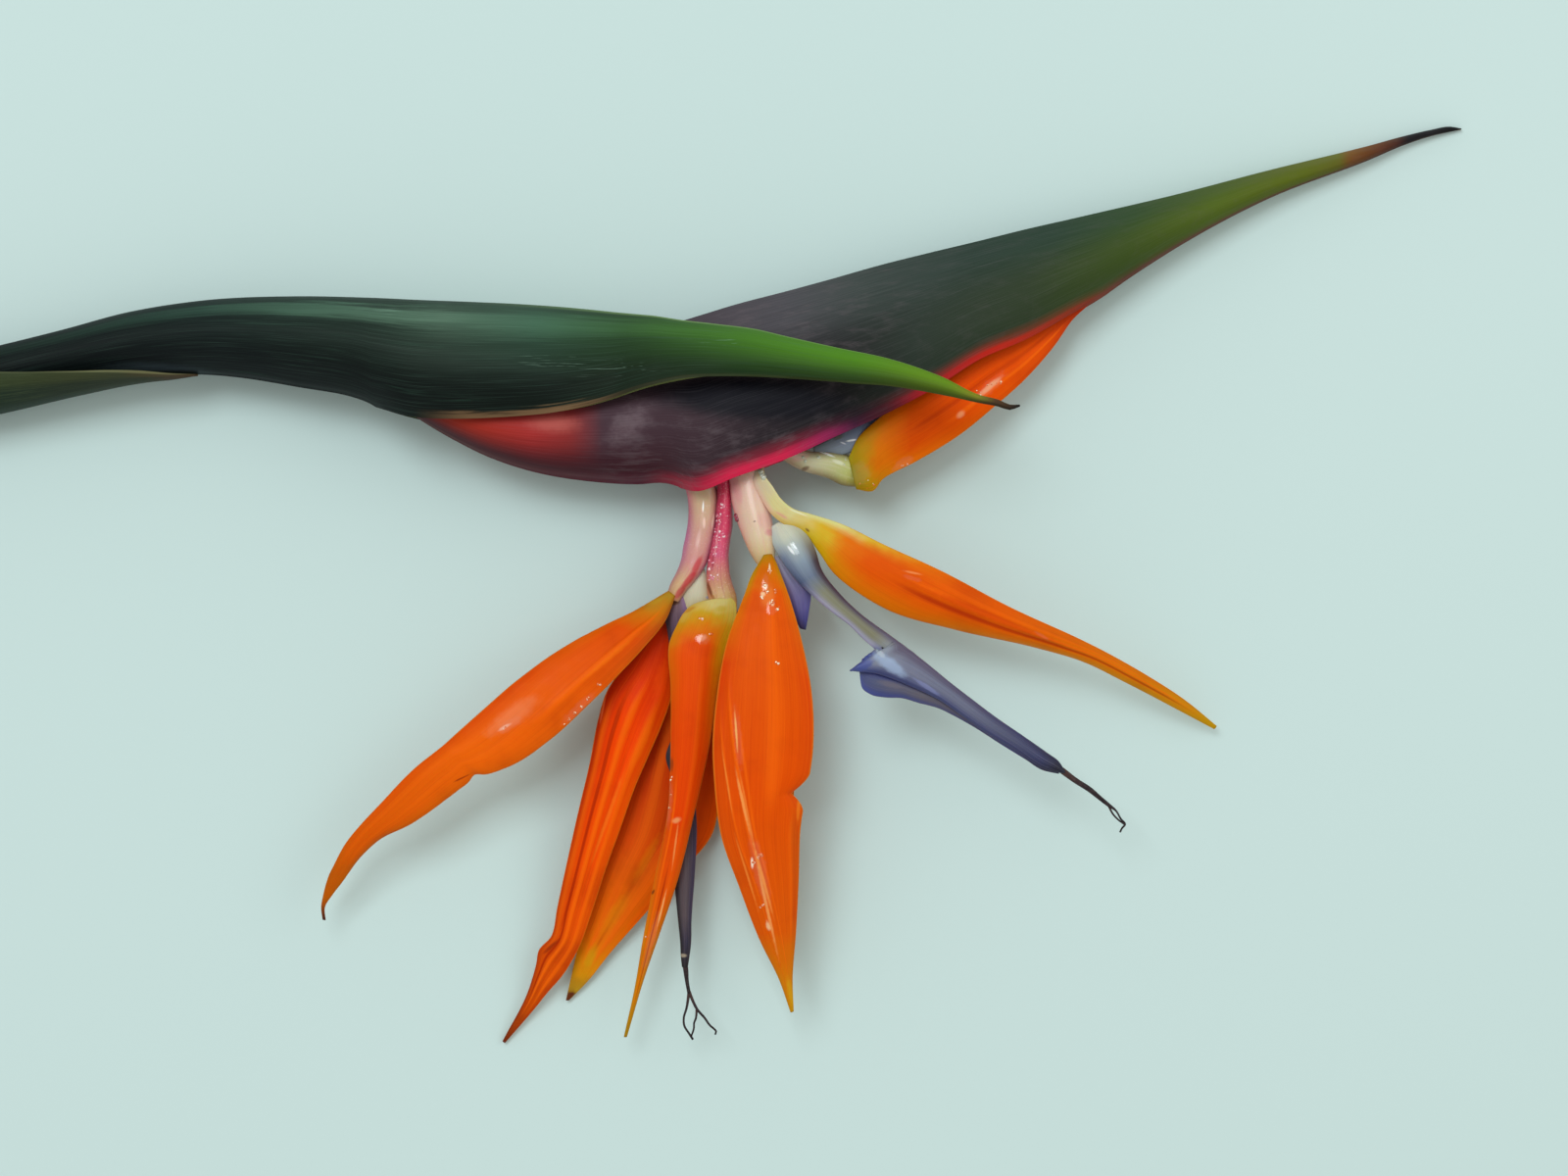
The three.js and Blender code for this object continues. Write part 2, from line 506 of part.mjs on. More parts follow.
// A blade from edge points, crowned across, with its underside one thickness below.
function blade(edges, { thickness = SEPAL_THICKNESS, shape = arch, steps = 1 } = {}) {
  const rows = refine(edges.map(([left, right, crown]) => [...left, ...right, crown]), steps);
  const outer = rows.map((row, i) => {
    const left = new THREE.Vector3(row[0], row[1], row[2]);
    const right = new THREE.Vector3(row[3], row[4], row[5]);
    const before = rows[Math.max(i - 1, 0)];
    const after = rows[Math.min(i + 1, rows.length - 1)];
    const along = new THREE.Vector3(
      after[0] + after[3] - before[0] - before[3],
      after[1] + after[4] - before[1] - before[4],
      after[2] + after[5] - before[2] - before[5],
    );
    const up = new THREE.Vector3().crossVectors(along, right.clone().sub(left)).normalize();
    up.multiplyScalar(Math.sign(up.z));
    return Array.from({ length: BLADE_CELLS + 1 }, (_, j) => {
      const v = j / BLADE_CELLS;
      return left.clone().lerp(right, v).addScaledVector(up, row[6] * shape(v));
    });
  });
  const inner = outer.map((line, i) => line.map((point, j) => {
    const along = outer[Math.min(i + 1, outer.length - 1)][j].clone().sub(outer[Math.max(i - 1, 0)][j]);
    const across = line[Math.min(j + 1, BLADE_CELLS)].clone().sub(line[Math.max(j - 1, 0)]);
    const normal = along.cross(across).normalize();
    normal.multiplyScalar(Math.sign(normal.z));
    const under = point.clone().addScaledVector(normal, -thickness);
    under.z = Math.max(under.z, 0);
    return under;
  }));
  return sheet(outer, inner);
}

// A bract folded along its keel: two walls that run from the keel down to a pair of margins.
function foldedBract(rows, { fullest, flatness, wall, keelWall, steps, solidFrom }) {
  const bulge = (s) => Math.sin(Math.PI * Math.max(s, 0) ** fullest) ** flatness;
  const fine = refine(rows, steps);
  const outer = [];
  const inner = [];
  fine.forEach(([x, keelY, keelZ, footY, footZ, depth, frontY, backY]) => {
    const height = footY - keelY;
    const reach = (y) => Math.min((y - keelY) / height, MARGIN_REACH);
    const innerDepth = Math.max(depth - wall, depth * SMALLEST_HOLLOW);
    const keelInset = Math.min(keelWall, Math.abs(height) * THIN_SHARE) * Math.sign(height);
    const footInset = Math.min(wall, Math.abs(height) * THIN_SHARE) * Math.sign(height);
    const outerLine = [];
    const innerLine = [];
    for (let j = -HULL_POINTS; j <= HULL_POINTS; j += 1) {
      const margin = reach(j < 0 ? frontY : backY);
      const s = margin * 0.5 * (1 - Math.cos((Math.PI * Math.abs(j)) / HULL_POINTS));
      const side = -Math.sign(j) * bulge(s);
      const z = keelZ + (footZ - keelZ) * s;
      const innerY = keelY + keelInset + (height - keelInset - footInset) * s;
      outerLine.push(new THREE.Vector3(x, keelY + height * s, Math.max(z + side * depth, 0)));
      innerLine.push(new THREE.Vector3(x, innerY, Math.max(z + side * innerDepth, wall)));
    }
    const hollow = THREE.MathUtils.clamp((solidFrom - x) / HOLLOW_FADE, 0, 1);
    const start = innerLine[0].clone();
    const end = innerLine[2 * HULL_POINTS].clone();
    innerLine.forEach((point, j) => {
      const chord = start.clone().lerp(end, j / (2 * HULL_POINTS));
      point.lerp(chord, 1 - hollow);
    });
    outer.push(outerLine);
    inner.push(innerLine);
  });
  return sheet(outer, inner);
}

// A capped tube through rows of centre, half width and half depth.
function tube(rows, sides, steps = 1) {
  const fine = refine(rows, steps);
  const points = [];
  fine.forEach(([x, y, z, halfWidth, halfDepth], i) => {
    const before = fine[Math.max(i - 1, 0)];
    const after = fine[Math.min(i + 1, fine.length - 1)];
    const along = new THREE.Vector3(after[0] - before[0], after[1] - before[1], after[2] - before[2]);
    along.normalize();
    const across = new THREE.Vector3().crossVectors(along, new THREE.Vector3(0, 0, 1)).normalize();
    const up = new THREE.Vector3().crossVectors(across, along);
    for (let k = 0; k < sides; k += 1) {
      const angle = (2 * Math.PI * k) / sides;
      const point = new THREE.Vector3(x, y, z);
      point.addScaledVector(across, halfWidth * Math.cos(angle));
      point.addScaledVector(up, halfDepth * Math.sin(angle));
      point.z = Math.max(point.z, 0);
      points.push(point);
    }
  });
  const rings = fine.length;
  const triangles = [];
  for (let i = 0; i + 1 < rings; i += 1) {
    for (let k = 0; k < sides; k += 1) {
      const next = (k + 1) % sides;
      const near = i * sides;
      const far = near + sides;
      triangles.push([near + k, far + k, far + next]);
      triangles.push([near + k, far + next, near + next]);
    }
  }
  const firstCentre = points.length;
  [fine[0], fine[rings - 1]].forEach(([x, y, z]) => {
    points.push(new THREE.Vector3(x, y, z));
  });
  for (let k = 0; k < sides; k += 1) {
    const next = (k + 1) % sides;
    triangles.push([firstCentre, k, next]);
    triangles.push([firstCentre + 1, (rings - 1) * sides + next, (rings - 1) * sides + k]);
  }
  return closedBody(points, triangles);
}

// Several closed bodies joined into one.
function joined(geometries) {
  const solids = geometries.map((geometry) => {
    const bare = geometry.clone();
    bare.deleteAttribute('normal');
    const merged = mergeVertices(bare);
    const vertProperties = new Float32Array(merged.attributes.position.array);
    const triVerts = new Uint32Array(merged.index.array);
    return new wasm.Manifold(new wasm.Mesh({ numProp: 3, vertProperties, triVerts }));
  });
  const whole = solids.reduce((sum, solid) => sum.add(solid)).getMesh();
  const geometry = new THREE.BufferGeometry();
  geometry.setAttribute('position', new THREE.BufferAttribute(new Float32Array(whole.vertProperties), 3));
  geometry.setIndex(new THREE.BufferAttribute(new Uint32Array(whole.triVerts), 1));
  geometry.computeVertexNormals();
  return geometry;
}

// Materials
function living(color, roughness) {
  return () => new THREE.MeshStandardMaterial({ color, roughness, metalness: 0 });
}

const stemGreen = living(0x5d6b3a, 0.55);
const sheathOlive = living(0x666a32, 0.6);
const spatheGreen = living(0x2f4a37, 0.4);
const spathePurple = living(0x4f3740, 0.4);
const sepalOrange = living(0xe85a0c, 0.35);
const petalBlue = living(0x4a4a86, 0.45);
const petalDark = living(0x453649, 0.5);
const ovaryPink = living(0xe3a1a6, 0.35);
const ovaryRose = living(0xc9486c, 0.4);
const ovaryCream = living(0xd8cf9c, 0.35);
const styleBrown = living(0x2c1f22, 0.6);

const flower = new THREE.Group();

function add(name, geometry, material) {
  const mesh = new THREE.Mesh(geometry, material());
  mesh.name = name;
  flower.add(mesh);
}

function addStemAndBracts() {
  add('scape', tube(SCAPE, SCAPE_SIDES, ROUND_STEPS), stemGreen);
  add('stem_sheath', foldedBract(STEM_SHEATH, SHEATH_SHAPE), sheathOlive);
  add('outer_spathe', foldedBract(OUTER_SPATHE, OUTER_SPATHE_SHAPE), spatheGreen);
  add('inner_spathe', foldedBract(INNER_SPATHE, INNER_SPATHE_SHAPE), spathePurple);
}

const petal = (edges) => blade(edges, { thickness: PETAL_THICKNESS, shape: roof });
const hood = (edges) => blade(edges, { thickness: PETAL_THICKNESS });

function addFirstFlower() {
  add('flower_1_ovary', tube(OVARY_1, TUBE_SIDES), ovaryPink);
  add('flower_1_sepal_left', blade(SEPAL_1_LEFT), sepalOrange);
  add('flower_1_sepal_middle', blade(SEPAL_1_MIDDLE), sepalOrange);
  add('flower_1_sepal_rear', blade(SEPAL_1_REAR), sepalOrange);
  add('flower_1_arrow_petals', petal(ARROW_1), petalDark);
  add('flower_1_hood_petal', hood(HOOD_1), ovaryCream);
  const lobes = [STYLE_1, STYLE_1_MIDDLE_LOBE, STYLE_1_OUTER_LOBE];
  add('flower_1_style', joined(lobes.map((rows) => tube(rows, THREAD_SIDES))), styleBrown);
}

function addSecondFlower() {
  add('flower_2_ovary', tube(OVARY_2, TUBE_SIDES), ovaryRose);
  add('flower_2_sepal_front', blade(SEPAL_2_FRONT), sepalOrange);
  add('flower_2_sepal_left', blade(SEPAL_2_LEFT), sepalOrange);
  add('flower_2_sepal_rear', blade(SEPAL_2_REAR), sepalOrange);
  add('flower_2_arrow_petals', petal(ARROW_2), petalDark);
  add('flower_2_hood_petal', hood(HOOD_2), petalBlue);
  add('flower_2_style', tube(STYLE_2, THREAD_SIDES), styleBrown);
}

function addThirdFlower() {
  add('flower_3_ovary', tube(OVARY_3, TUBE_SIDES), ovaryPink);
  add('flower_3_sepal_front', blade(SEPAL_3_FRONT), sepalOrange);
  add('flower_3_sepal_right', blade(SEPAL_3_RIGHT), sepalOrange);
  add('flower_3_sepal_rear', blade(SEPAL_3_REAR), sepalOrange);
  add('flower_3_arrow_petals', petal(ARROW_3), petalBlue);
  add('flower_3_hood_petal', hood(HOOD_3), petalBlue);
  const lobes = [STYLE_3, STYLE_3_SIDE_LOBE];
  add('flower_3_style', joined(lobes.map((rows) => tube(rows, THREAD_SIDES))), styleBrown);
}

function addFourthFlower() {
  add('flower_4_ovary', tube(OVARY_4, TUBE_SIDES), ovaryCream);
  add('flower_4_sepal_front', blade(SEPAL_4_FRONT), sepalOrange);
  add('flower_4_sepal_rear', blade(SEPAL_4_REAR), sepalOrange);
  add('flower_4_sepal_inner', blade(SEPAL_4_INNER), sepalOrange);
  add('flower_4_arrow_petals', tube(FOLDED_PETALS_4, FOLDED_PETAL_SIDES), petalBlue);
}

addStemAndBracts();
addFirstFlower();
addSecondFlower();
addThirdFlower();
addFourthFlower();

export default flower;
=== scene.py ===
import bpy
import numpy as np
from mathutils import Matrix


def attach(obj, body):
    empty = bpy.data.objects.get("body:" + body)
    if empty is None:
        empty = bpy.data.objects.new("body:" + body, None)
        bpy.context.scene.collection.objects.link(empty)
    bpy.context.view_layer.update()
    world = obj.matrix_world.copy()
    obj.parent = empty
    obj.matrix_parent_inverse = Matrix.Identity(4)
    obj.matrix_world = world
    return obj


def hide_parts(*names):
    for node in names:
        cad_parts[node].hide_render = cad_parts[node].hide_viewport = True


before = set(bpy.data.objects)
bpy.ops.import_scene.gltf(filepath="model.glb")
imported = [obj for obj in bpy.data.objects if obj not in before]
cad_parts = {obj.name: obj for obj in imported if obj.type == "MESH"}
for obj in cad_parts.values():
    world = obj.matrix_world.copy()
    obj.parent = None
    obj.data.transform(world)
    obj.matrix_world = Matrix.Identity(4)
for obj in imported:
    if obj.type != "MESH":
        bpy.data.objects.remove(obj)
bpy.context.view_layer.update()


# Camera, floor and light
# The camera looks straight down from 700 mm. The floor is a plain pale board, and the light is soft and
# comes from the upper left, so that shadows fall to the lower right.
CAMERA_PLACE = (0.050, -0.0006, 0.700)
SENSOR_WIDTH = 36
LENS = 85.625
ROOM_TINT = (1.0, 0.99, 0.94, 1.0)
ROOM_STRENGTH = 0.58
FLOOR_CORNERS = ((-1, -1), (1, -1), (1, 1), (-1, 1))
FLOOR_HALF = 1.4
FLOOR_DROP = 0.0001
FLOOR_COLOUR = (0.585, 0.74, 0.73, 1.0)
FLOOR_ROUGHNESS = 0.85


def put_in_scene(name, data):
    """A new object with its data, linked to the scene."""
    made = bpy.data.objects.new(name, data)
    bpy.context.scene.collection.objects.link(made)
    return made


def light(name, place, aim, size, power, tint):
    """A square area light at a place, turned to face another place."""
    lamp = put_in_scene(name, bpy.data.lights.new(name, "AREA"))
    lamp.location = place
    direction = lamp.location.copy()
    direction[:] = [end - start for start, end in zip(place, aim)]
    lamp.rotation_euler = direction.to_track_quat("-Z", "Y").to_euler()
    lamp.data.size = size
    lamp.data.energy = power
    lamp.data.color = tint


camera = put_in_scene("camera", bpy.data.cameras.new("camera"))
camera.location = CAMERA_PLACE
camera.data.sensor_width = SENSOR_WIDTH
camera.data.lens = LENS
bpy.context.scene.camera = camera
bpy.context.scene.view_settings.view_transform = "Standard"

light("key_light", (-0.42, 0.72, 1.70), (0.03, 0.0, 0.0), size=0.80, power=15.0, tint=(0.90, 0.975, 1.0))
light("fill_light", (0.95, 0.40, 0.90), (0.05, 0.0, 0.0), size=0.70, power=2.4, tint=(1.0, 0.985, 0.93))

world = bpy.data.worlds.new("soft_room_light")
world.use_nodes = True
world.node_tree.nodes["Background"].inputs["Color"].default_value = ROOM_TINT
world.node_tree.nodes["Background"].inputs["Strength"].default_value = ROOM_STRENGTH
bpy.context.scene.world = world

floor_mesh = bpy.data.meshes.new("floor")
floor_points = [(x * FLOOR_HALF, y * FLOOR_HALF, -FLOOR_DROP) for x, y in FLOOR_CORNERS]
floor_mesh.from_pydata(floor_points, [], [(0, 1, 2, 3)])
floor_look = bpy.data.materials.new("floor_pale")
floor_look.use_nodes = True
floor_look.node_tree.nodes["Principled BSDF"].inputs["Base Color"].default_value = FLOOR_COLOUR
floor_look.node_tree.nodes["Principled BSDF"].inputs["Roughness"].default_value = FLOOR_ROUGHNESS
floor_mesh.materials.append(floor_look)
floor = put_in_scene("floor", floor_mesh)


# Scape
# The bare stem: a smooth round green stalk with faint lengthwise ribs, about 11 mm through. It is cut off
# plainly at its far end and runs on, thin, inside the bracts, which grow from it.
MM = 0.001
SHARP_TURN = 0.25
LOBE_TURN = 0.5
FLESH_RADIUS = (1.0, 0.35, 0.12)
FLESH_DEPTH = 0.0012
NECTAR_ROUGHNESS = 0.07
SPOT_GRAIN = 0.9
SPOT_HEIGHT = 10000
CUT_FACE_X = -175.97


def smooth_rows(rows, cell):
    """Rows with those of a smooth curve through them added, so that they lie about a cell apart."""
    rows = np.array(rows, dtype=float)
    gaps = np.linalg.norm(np.diff(rows, axis=0), axis=1)
    slopes = np.diff(rows, axis=0) / gaps[:, None]
    tangents = np.empty_like(rows)
    tangents[0] = slopes[0]
    tangents[-1] = slopes[-1]
    for i in range(1, len(rows) - 1):
        sharp_corner = np.dot(slopes[i - 1], slopes[i]) < SHARP_TURN
        blend = (slopes[i - 1] * gaps[i] + slopes[i] * gaps[i - 1]) / (gaps[i - 1] + gaps[i])
        tangents[i] = 0.0 if sharp_corner else blend
    fine = []
    for i, gap in enumerate(gaps):
        count = max(1, round(gap / cell))
        rise = rows[i + 1] - rows[i]
        start = tangents[i] * gap
        end = tangents[i + 1] * gap
        for t in np.arange(count) / count:
            bend = 3 * rise - 2 * start - end + t * (start + end - 2 * rise)
            fine.append(rows[i] + t * (start + t * bend))
    fine.append(rows[-1])
    return np.array(fine)


def along_share(points):
    """How far along a line each of its points lies, from 0 to 1."""
    steps = np.linalg.norm(np.diff(points, axis=0), axis=1)
    walked = np.concatenate([[0.0], np.cumsum(steps)])
    return walked / walked[-1]


def lay_out(name, points, faces, uv, look, values=None):
    """A smooth closed mesh from points in mm, with its faces turned outwards, its UV map and its values."""
    points = np.array(points)
    fans = [(face[0], face[k], face[k + 1]) for face in faces for k in range(1, len(face) - 1)]
    a, b, c = (points[[fan[k] for fan in fans]] for k in range(3))
    if np.einsum("ij,ij->i", a, np.cross(b, c)).sum() < 0:
        faces = [tuple(reversed(face)) for face in faces]
    mesh = bpy.data.meshes.new(name)
    mesh.from_pydata((points * MM).tolist(), [], faces)
    corners = np.empty(len(mesh.loops), dtype=np.int32)
    mesh.loops.foreach_get("vertex_index", corners)
    layer = mesh.uv_layers.new(name="blade")
    layer.data.foreach_set("uv", np.array(uv, dtype=np.float32)[corners].ravel())
    for title, numbers in (values or {}).items():
        field = mesh.attributes.new(title, "FLOAT", "POINT")
        field.data.foreach_set("value", np.array(numbers, dtype=np.float32))
    mesh.polygons.foreach_set("use_smooth", [True] * len(mesh.polygons))
    mesh.materials.append(look)
    return put_in_scene(name, mesh)


def tube(name, rows, cell, sides, look, lobes=0.0, lobe_count=3):
    """A capped tube through rows of x, y, z, half width and half depth."""
    fine = smooth_rows(rows, cell)
    centres = fine[:, :3]
    along = np.gradient(centres, axis=0)
    along /= np.linalg.norm(along, axis=1)[:, None]
    across = np.cross(along, [0.0, 0.0, 1.0])
    across /= np.linalg.norm(across, axis=1)[:, None]
    up = np.cross(across, along)
    angles = 2 * np.pi * np.arange(sides) / sides
    swell = 1 + lobes * np.cos(lobe_count * angles + LOBE_TURN)
    wide = (fine[:, 3, None] * np.cos(angles) * swell)[:, :, None] * across[:, None, :]
    deep = (fine[:, 4, None] * np.sin(angles) * swell)[:, :, None] * up[:, None, :]
    rings = centres[:, None, :] + wide + deep
    rings[:, :, 2] = np.maximum(rings[:, :, 2], 0.0)
    points = list(rings.reshape(-1, 3)) + [centres[0], centres[-1]]
    uv = [(u, k / sides) for u in along_share(centres) for k in range(sides)] + [(0.0, 0.5), (1.0, 0.5)]
    last = (len(fine) - 1) * sides
    faces = []
    for k in range(sides):
        after = (k + 1) % sides
        for i in range(0, last, sides):
            faces.append((i + k, i + sides + k, i + sides + after, i + after))
        faces.append((len(points) - 2, k, after))
        faces.append((len(points) - 1, last + after, last + k))
    return lay_out(name, points, faces, uv, look)


def colour(code):
    """Linear red, green, blue and alpha of a hex colour."""
    parts = [int(code[i:i + 2], 16) / 255 for i in (0, 2, 4)]
    return [p / 12.92 if p <= 0.04045 else ((p + 0.055) / 1.055) ** 2.4 for p in parts] + [1.0]


def add_node(tree, kind, inputs=None, **settings):
    """A node in a tree, with its settings, and its inputs linked or set."""
    made = tree.nodes.new(kind)
    for key, value in settings.items():
        setattr(made, key, value)
    for key, value in (inputs or {}).items():
        if isinstance(value, bpy.types.NodeSocket):
            tree.links.new(value, made.inputs[key])
        else:
            made.inputs[key].default_value = value
    return made.outputs


class Paint:
    """One material, and the few kinds of node that the plant's colours are mixed from."""

    def __init__(self, name, roughness, flesh=0.0, coat=0.0, coat_roughness=0.18, specular=0.2):
        self.material = bpy.data.materials.new(name)
        self.material.use_nodes = True
        self.tree = self.material.node_tree
        self.shader = self.tree.nodes["Principled BSDF"].inputs
        self.shader["Roughness"].default_value = roughness
        self.shader["Subsurface Weight"].default_value = flesh
        self.shader["Subsurface Radius"].default_value = FLESH_RADIUS
        self.shader["Subsurface Scale"].default_value = FLESH_DEPTH
        self.shader["Coat Weight"].default_value = coat
        self.shader["Coat Roughness"].default_value = coat_roughness
        self.shader["Specular IOR Level"].default_value = specular
        place = self.node("ShaderNodeTexCoord")["Object"]
        self.mm = self.node("ShaderNodeMapping", {"Vector": place, "Scale": [1 / MM] * 3})["Vector"]
        self.uv = self.node("ShaderNodeUVMap", uv_map="blade")["UV"]
        parts = self.node("ShaderNodeSeparateXYZ", {"Vector": self.uv})
        self.u = parts["X"]
        self.v = parts["Y"]

    def node(self, kind, inputs=None, **settings):
        """The outputs of a new node."""
        return add_node(self.tree, kind, inputs, **settings)

    def x_in_mm(self):
        return self.node("ShaderNodeSeparateXYZ", {0: self.mm})["X"]

    def x_share(self, low, high):
        """How far along X a point lies between two places in mm."""
        inputs = {"Value": self.x_in_mm(), "From Min": low, "From Max": high}
        return self.node("ShaderNodeMapRange", inputs)["Result"]

    def value(self, name):
        """One of the values that a mesh carries."""
        return self.node("ShaderNodeAttribute", attribute_name=name)["Fac"]

    def stretched(self, vector, scale, turn=0.0):
        """Coordinates scaled by an amount for each axis and turned by some degrees."""
        inputs = {"Vector": vector, "Scale": scale, "Rotation": (0, 0, np.radians(turn))}
        return self.node("ShaderNodeMapping", inputs)["Vector"]

    def noise(self, vector, scale=1.0, detail=3.0, rough=0.55):
        inputs = {"Vector": vector, "Scale": scale, "Detail": detail, "Roughness": rough}
        return self.node("ShaderNodeTexNoise", inputs)["Fac"]

    def grained(self, along, across, detail, rough=0.55):
        """Noise drawn out along the piece."""
        return self.noise(self.stretched(self.uv, (along, across, 1)), detail=detail, rough=rough)

    def maths(self, operation, first, second=0.0):
        return self.node("ShaderNodeMath", {0: first, 1: second}, operation=operation)[0]

    def times(self, first, second):
        return self.maths("MULTIPLY", first, second)

    def plus(self, first, second):
        return self.maths("ADD", first, second)

    def apart(self, value, place, scale=1.0):
        """How far a value lies from a place, either way."""
        return self.times(self.maths("ABSOLUTE", self.plus(value, -place)), scale)

    def wavering(self, value, noise, amount):
        """A value made uneven by noise."""
        return self.plus(value, self.times(self.plus(noise, -0.5), amount))

    def ease(self, value, low, high, start=0.0, end=1.0):
        """A soft step from start to end, where a value goes from low to high."""
        inputs = {"Value": value, "From Min": low, "From Max": high, "To Min": start, "To Max": end}
        return self.node("ShaderNodeMapRange", inputs, interpolation_type="SMOOTHSTEP")["Result"]

    def ramp(self, value, stops, low=0, high=100):
        """Colours along a value. A stop is a place, in hundredths unless ends are given, and a hex colour."""
        made = self.tree.nodes.new("ShaderNodeValToRGB")
        self.tree.links.new(value, made.inputs["Fac"])
        stops = [stop.split() for stop in stops.split(", ")]
        points = made.color_ramp.elements
        while len(points) < len(stops):
            points.new(0.5)
        for point, (place, code) in zip(points, stops):
            point.position = (float(place) - low) / (high - low)
            point.color = colour(code)
        return made.outputs["Color"]

    def mix(self, share, first, second):
        """Two colours mixed: none of the second at 0, all of it at 1."""
        first, second = (colour(tint) if isinstance(tint, str) else tint for tint in (first, second))
        return self.node("ShaderNodeMix", {0: share, 6: first, 7: second}, data_type="RGBA")[2]

    def spot(self, x, y, half_length, half_width, turn=0.0, soft=0.6, ragged=0.0):
        """A soft oval round a place in mm."""
        inputs = {"Vector": self.mm, "Location": (x, y, 0), "Rotation": (0, 0, np.radians(turn))}
        inputs["Scale"] = (half_length, half_width, SPOT_HEIGHT)
        local = self.node("ShaderNodeMapping", inputs, vector_type="TEXTURE")["Vector"]
        reach = self.node("ShaderNodeVectorMath", {0: local}, operation="LENGTH")["Value"]
        if ragged:
            reach = self.wavering(reach, self.noise(self.mm, SPOT_GRAIN), ragged)
        return self.ease(reach, 1.0, 1.0 - soft)

    def spots(self, places, soft=0.6, ragged=0.0):
        """The strongest of several spots."""
        strongest = 0.0
        for x, y, long, wide, turn in places:
            strongest = self.maths("MAXIMUM", strongest, self.spot(x, y, long, wide, turn, soft, ragged))
        return strongest

    def wash(self, share, tint):
        """Lays a colour over what is there."""
        self.base = self.mix(share, self.base, tint)

    def streak(self, value, low, high, strength, tint):
        """Lays a colour over what is there, the more the further a value goes from low to high."""
        self.wash(self.ease(value, low, high, 0.0, strength), tint)

    def mark(self, marks, soft, ragged):
        """Lays spots of colour over what is there."""
        for x, y, long, wide, turn, strength, tint in marks:
            spot = self.spot(x, y, long, wide, turn, soft, ragged)
            self.wash(self.times(spot, strength), tint)

    def wet(self, places, soft=0.6):
        """A film of nectar over some places."""
        self.tree.links.new(self.spots(places, soft, ragged=1.0), self.shader["Coat Weight"])
        self.shader["Coat Roughness"].default_value = NECTAR_ROUGHNESS

    def lining(self, strength, tint):
        """Lays a colour over the inner side."""
        self.wash(self.times(self.value("inside"), strength), tint)

    def finish(self, height=None, depth=0.05, strength=0.5, roughness=None):
        """The finished material, with its colour, its relief to a depth in mm, and how rough it is."""
        self.tree.links.new(self.base, self.shader["Base Color"])
        if height is not None:
            inputs = {"Height": height, "Distance": depth * MM, "Strength": strength}
            bump = self.node("ShaderNodeBump", inputs)
            self.tree.links.new(bump["Normal"], self.shader["Normal"])
        if roughness is not None:
            self.tree.links.new(roughness, self.shader["Roughness"])
        return self.material


SCAPE_ROWS = [
    [-176, 23.2, 5.6, 5.6, 5.6], [-150, 28.1, 6.4, 5.1, 5.1], [-135, 30.9, 6.8, 5, 5],
    [-123, 33.3, 7.4, 4.6, 4.6], [-117, 34.5, 7.8, 3.4, 3.4], [-102, 37.7, 8.1, 3.2, 3.2],
    [-95, 39.3, 8.5, 3, 3], [-77, 42.4, 9, 2.9, 2.9], [-58, 45.2, 9.6, 2.7, 2.7], [-40, 44, 11, 2.4, 2.4],
    [-24.1, 36.4, 12, 1.3, 1.3],
]


def stem_look():
    paint = Paint("stem_green", 0.5, flesh=0.08)
    ribs = paint.grained(3, 60, detail=4)
    paint.base = paint.ramp(paint.u, "0 66763f, 35 5a6e38, 70 6c7a48, 100 8b8f5c")
    paint.streak(ribs, 0.35, 0.7, 0.45, "3f5230")
    paint.streak(paint.noise(paint.mm, 0.12), 0.5, 0.75, 0.3, "8d9a5a")
    fibres = paint.node("ShaderNodeTexVoronoi", {"Vector": paint.mm, "Scale": 1.1})["Distance"]
    pith = paint.mix(paint.ease(fibres, 0.32, 0.18), "c8cf94", "8a8f4e")
    paint.wash(paint.maths("LESS_THAN", paint.x_in_mm(), CUT_FACE_X), pith)
    return paint.finish(ribs, 0.08, 0.5)


scape = tube("scape_stem", SCAPE_ROWS, cell=1.5, sides=40, look=stem_look(), lobes=0.02, lobe_count=9)
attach(scape, "root")
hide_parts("scape")


# Stem sheath
# A dry leathery bract that wraps the stem below the flower head. It is dull olive, browner along its upper
# margin with fine dark lines, and ends in a dry brown point against the outer spathe.
SHEATH_ROWS = [
    [-150, 21.3, 6.5, 34.9, 6.5, 6.5, 34.7, 34.7], [-135, 24, 6.8, 37.8, 6.8, 6.6, 37.6, 37.6],
    [-117, 27.5, 7.8, 41.3, 7.8, 7.6, 39.6, 40], [-104, 30, 8.1, 43, 8.1, 7.7, 39.4, 40],
    [-94.6, 31.8, 8.5, 44.5, 8.5, 7.4, 39.1, 39.6], [-82, 34.7, 9, 45.5, 9, 7.6, 39, 39.4],
    [-70.4, 37.1, 9.2, 46, 9.2, 7.4, 38.9, 38.9], [-66.7, 37.6, 9.4, 44, 9.4, 5.8, 38.8, 38.8],
    [-63.3, 37.9, 9.8, 42, 9.8, 4, 38.7, 38.7], [-60.5, 38.3, 10.2, 40.4, 10.2, 2, 38.8, 38.8],
    [-58.4, 38.6, 10.4, 39.3, 10.4, 0.8, 38.9, 38.9],
]
CLOSED_FROM = 0.97
WIDEST_MARGIN = 0.985
PINCH_RUN = 0.06
THINNEST_PINCH = 0.15
THINNING = 0.6
THINNER_FROM = 0.7
SMALLEST_HOLLOW = 0.35
LARGEST_INSET = 0.12
RIPPLE_TURN = 0.55
RIPPLE_LAG = 1.3
RIPPLE_STEEPNESS = 6
SOLID_RUN = 14


